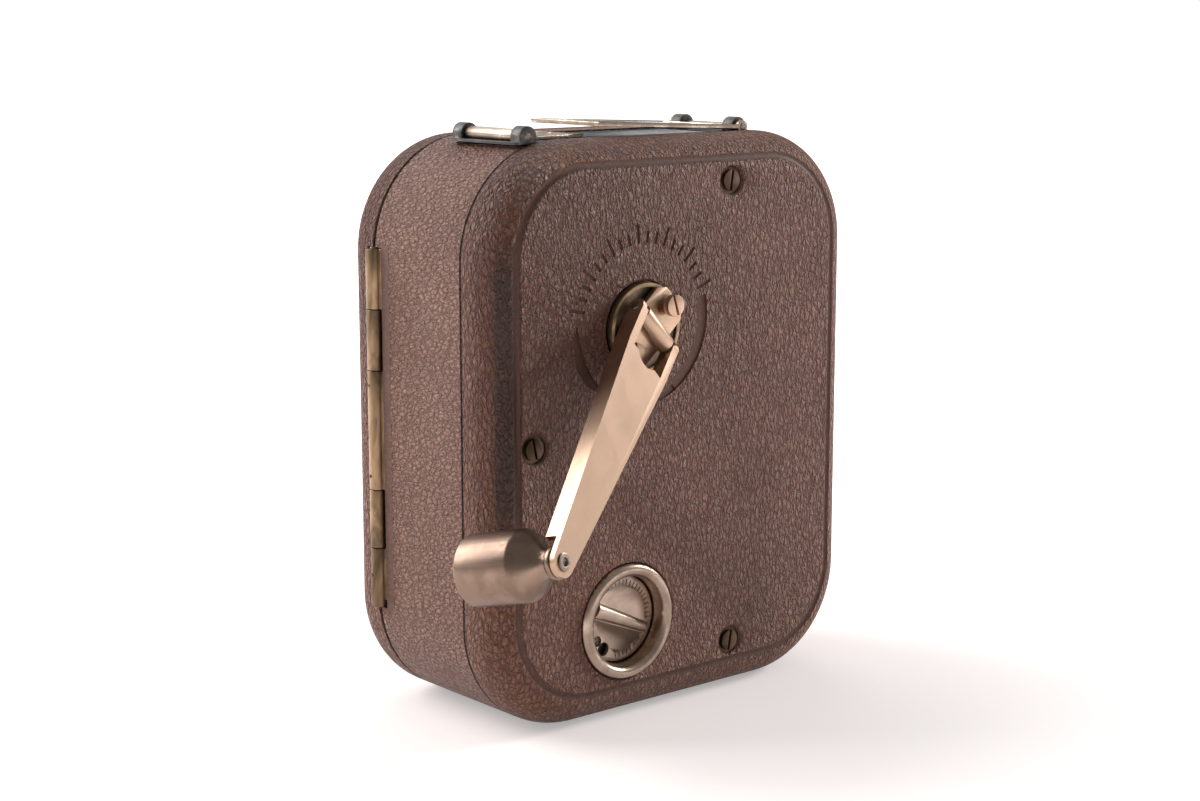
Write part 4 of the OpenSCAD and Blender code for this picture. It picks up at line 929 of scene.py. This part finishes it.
def dial_ticks():
    """Cutter for the dial's ring of ticks, which leaves out those beside its window."""
    bars = []
    for i in range(DIAL_TICKS):
        if i not in WINDOW_TICKS:
            bars.append(bar("bar", COUNTER, 2 * math.pi * i / DIAL_TICKS, DIAL_TICK_IN, DIAL_TICK_OUT,
                            DIAL_TICK_W, DIAL_FACE - 0.5, DIAL_FACE + DIAL_TICK_DEPTH))
    return join("ring_ticks", *bars)


def raised_text(words, centre, turn):
    """Plain figures standing on the number disc, towards -Y."""
    bpy.ops.object.text_add(location=(0, 0, 0))
    o = bpy.context.object
    o.data.body = words
    o.data.size = mm(FIGURE_SIZE)
    o.data.align_x, o.data.align_y = "CENTER", "CENTER"
    o.data.extrude = mm(FIGURE_T / 2)
    o.data.resolution_u = 3
    only(o)
    bpy.ops.object.convert(target="MESH")
    o = named("figures")
    place = Matrix.Translation(mm(centre[0], DISC_FACE - 0.03, centre[1]))
    upright = Matrix.Rotation(math.pi / 2, 4, "X") @ Matrix.Rotation(turn, 4, "Z")
    return outward(moved(o, place @ upright))


def footage_figures():
    """The numbers in fives round the disc, with their feet towards its middle."""
    figures = []
    for i in range(FIGURE_COUNT):
        a = math.radians((i + 0.5) * 360 / FIGURE_COUNT)
        figures.append(raised_text(str(5 * i), on_ring(COUNTER, FIGURE_R, a), a - math.pi / 2))
    return join("footage_figures", *figures)


dial = cut(refined("counter_dial", "counter_face", 0.1), dial_ticks())
finish_piece(dial, "dial", "nickel", DIAL_NICKEL, "counter_dial")
same_shape("number_disc", "number_plate", "footage_disc", "nickel", DIAL_NICKEL, 0.08)
finish_piece(footage_figures(), "footage_disc", "black_metal", ENAMEL)
# The screws' dark steel is partly painted shade in their deep holes
same_shape("cover_screws", "sunk_screws", "camera", "steel", OLD_STEEL, 0.15)

# Hinge and catch
same_shape("case_hinge_leaf", "hinge_leaf_fixed", "camera", "hinge_brass", OLD_BRASS, 0.12)
same_shape("door_hinge_leaf", "hinge_leaf_moving", "film_door", "hinge_brass", OLD_BRASS, 0.12)
same_shape("door_hinge_pin", "hinge_rod", "camera", "steel", STEEL, 0.1)
same_shape("door_catch_button", "catch_knob", "catch", "nickel", NICKEL, 0.3, 4)


def rivet_heads(name, *heights):
    """Small domed heads on the hinge knuckles, facing the back."""
    profile = [(0, 0.14), (0.25, 0.12), (0.45, 0.03), (0.55, -0.15), (0, -0.15)]
    x, y = -BODY_L / 2 - KNUCKLES_OUT, DOOR_SEAM + 0.1
    heads = [turned("head", profile, (x, y, z), (-1, 0, 0), steps=20) for z in heights]
    return finish_piece(join(name, *heads), "camera", "steel", OLD_STEEL)


rivet_heads("hinge_rivets_fixed", 62.6, 45.4)
rivet_heads("hinge_rivets_low", 26.3)

# Finder
same_shape("finder_base", "finder_bed", "camera", "black_metal", ENAMEL, 0.12)
same_shape("finder_frame", "finder_rails", "front_sight", "nickel", AGED_NICKEL, 0.2, 3)
same_shape("finder_sight", "finder_peep", "rear_sight", "nickel", AGED_NICKEL, 0.15)
same_shape("finder_pins", "finder_rods", "camera", "steel", STEEL, 0.1)
same_shape("finder_lens", "finder_glass", "front_sight", "glass", GLASS, 0.05)

# Lens and base
same_shape("lens_flange", "lens_plate", "camera", "nickel", NICKEL, 0.2)
same_shape("lens_barrel", "lens_tube", "camera", "black_metal", ENAMEL, 0.2)


# Notches round the ring for the stops; their cutters reach out to NOTCH_OUT
NOTCH_COUNT, NOTCH_W, NOTCH_DEPTH, NOTCH_MARGIN, NOTCH_OUT = 48, 0.44, 0.35, 0.6, 9.5


def ring_notches():
    """Cutter for the notches, which run along the ring and stop short of its two ends."""
    low, high = [c * 1000 for c in map(Vector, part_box("stop_ring"))]
    notches = []
    for i in range(NOTCH_COUNT):
        notch = brick("notch", (low.x + NOTCH_MARGIN, -NOTCH_W / 2, high.z - LENS[1] - NOTCH_DEPTH),
                      (high.x - NOTCH_MARGIN, NOTCH_W / 2, NOTCH_OUT))
        turn = Matrix.Rotation(2 * math.pi * i / NOTCH_COUNT, 4, "X")
        notches.append(moved(notch, Matrix.Translation(mm(0, *LENS)) @ turn))
    return join("notches", *notches)


collar = cut(refined("stop_ring", "stop_collar", 0.12), ring_notches())
finish_piece(collar, "stops", "nickel", KNURL_METAL, "stop_ring")
same_shape("tripod_bush", "tripod_insert", "camera", "brass", BRASS, 0.2)


# Stage, lamps and camera
def make_stage():
    bpy.ops.mesh.primitive_plane_add(size=40, location=(0, 0, 0))
    floor = named("floor")
    floor.data.materials.append(floor_material())


def lamp(name, place, aim, size, power):
    """A soft rectangular lamp; place, aim and size in metres, power in watts."""
    bpy.ops.object.light_add(type="AREA", location=place)
    o = bpy.context.object
    o.name = name
    o.data.shape = "RECTANGLE"
    o.data.size, o.data.size_y = size
    o.data.energy = power
    o.rotation_euler = (Vector(aim) - Vector(place)).to_track_quat("-Z", "Y").to_euler()


def make_world():
    world = bpy.data.worlds.new("studio")
    bpy.context.scene.world = world
    world.use_nodes = True
    t = Nodes(world.node_tree)
    background = world.node_tree.nodes["Background"]
    paths = t.add("ShaderNodeLightPath")
    seen = t.math("MAXIMUM", paths.outputs["Is Camera Ray"], paths.outputs["Is Transmission Ray"])
    background.inputs["Color"].default_value = (1, 1, 1, 1)
    t.put(background.inputs["Strength"], t.mix(seen, 0.3, 1.0, kind="FLOAT"))


def make_camera():
    data = bpy.data.cameras.new("photo_view")
    camera = bpy.data.objects.new("photo_view", data)
    bpy.context.scene.collection.objects.link(camera)
    bpy.context.scene.camera = camera
    data.sensor_width = SENSOR_W
    data.sensor_fit = "HORIZONTAL"
    data.lens = FOCAL / PICTURE_W * SENSOR_W
    data.clip_start, data.clip_end = 0.01, 60
    camera.location = mm(*CAMERA_PLACE)
    camera.rotation_euler = (math.radians(CAMERA_TILT), 0, math.radians(CAMERA_TURN))


make_stage()
make_world()
lamp("back_softbox", (0.2, 1.0, 1.2), (0, 0, 0.05), (1.6, 1.4), 9.0)
lamp("left_softbox", (-0.8, 1.1, 0.9), (0, 0, 0.06), (1.1, 1.1), 26.0)
lamp("right_softbox", (1.5, -0.4, 0.7), (0, 0, 0.06), (0.5, 0.5), 18.0)
make_camera()
bpy.context.scene.view_settings.view_transform = "Standard"
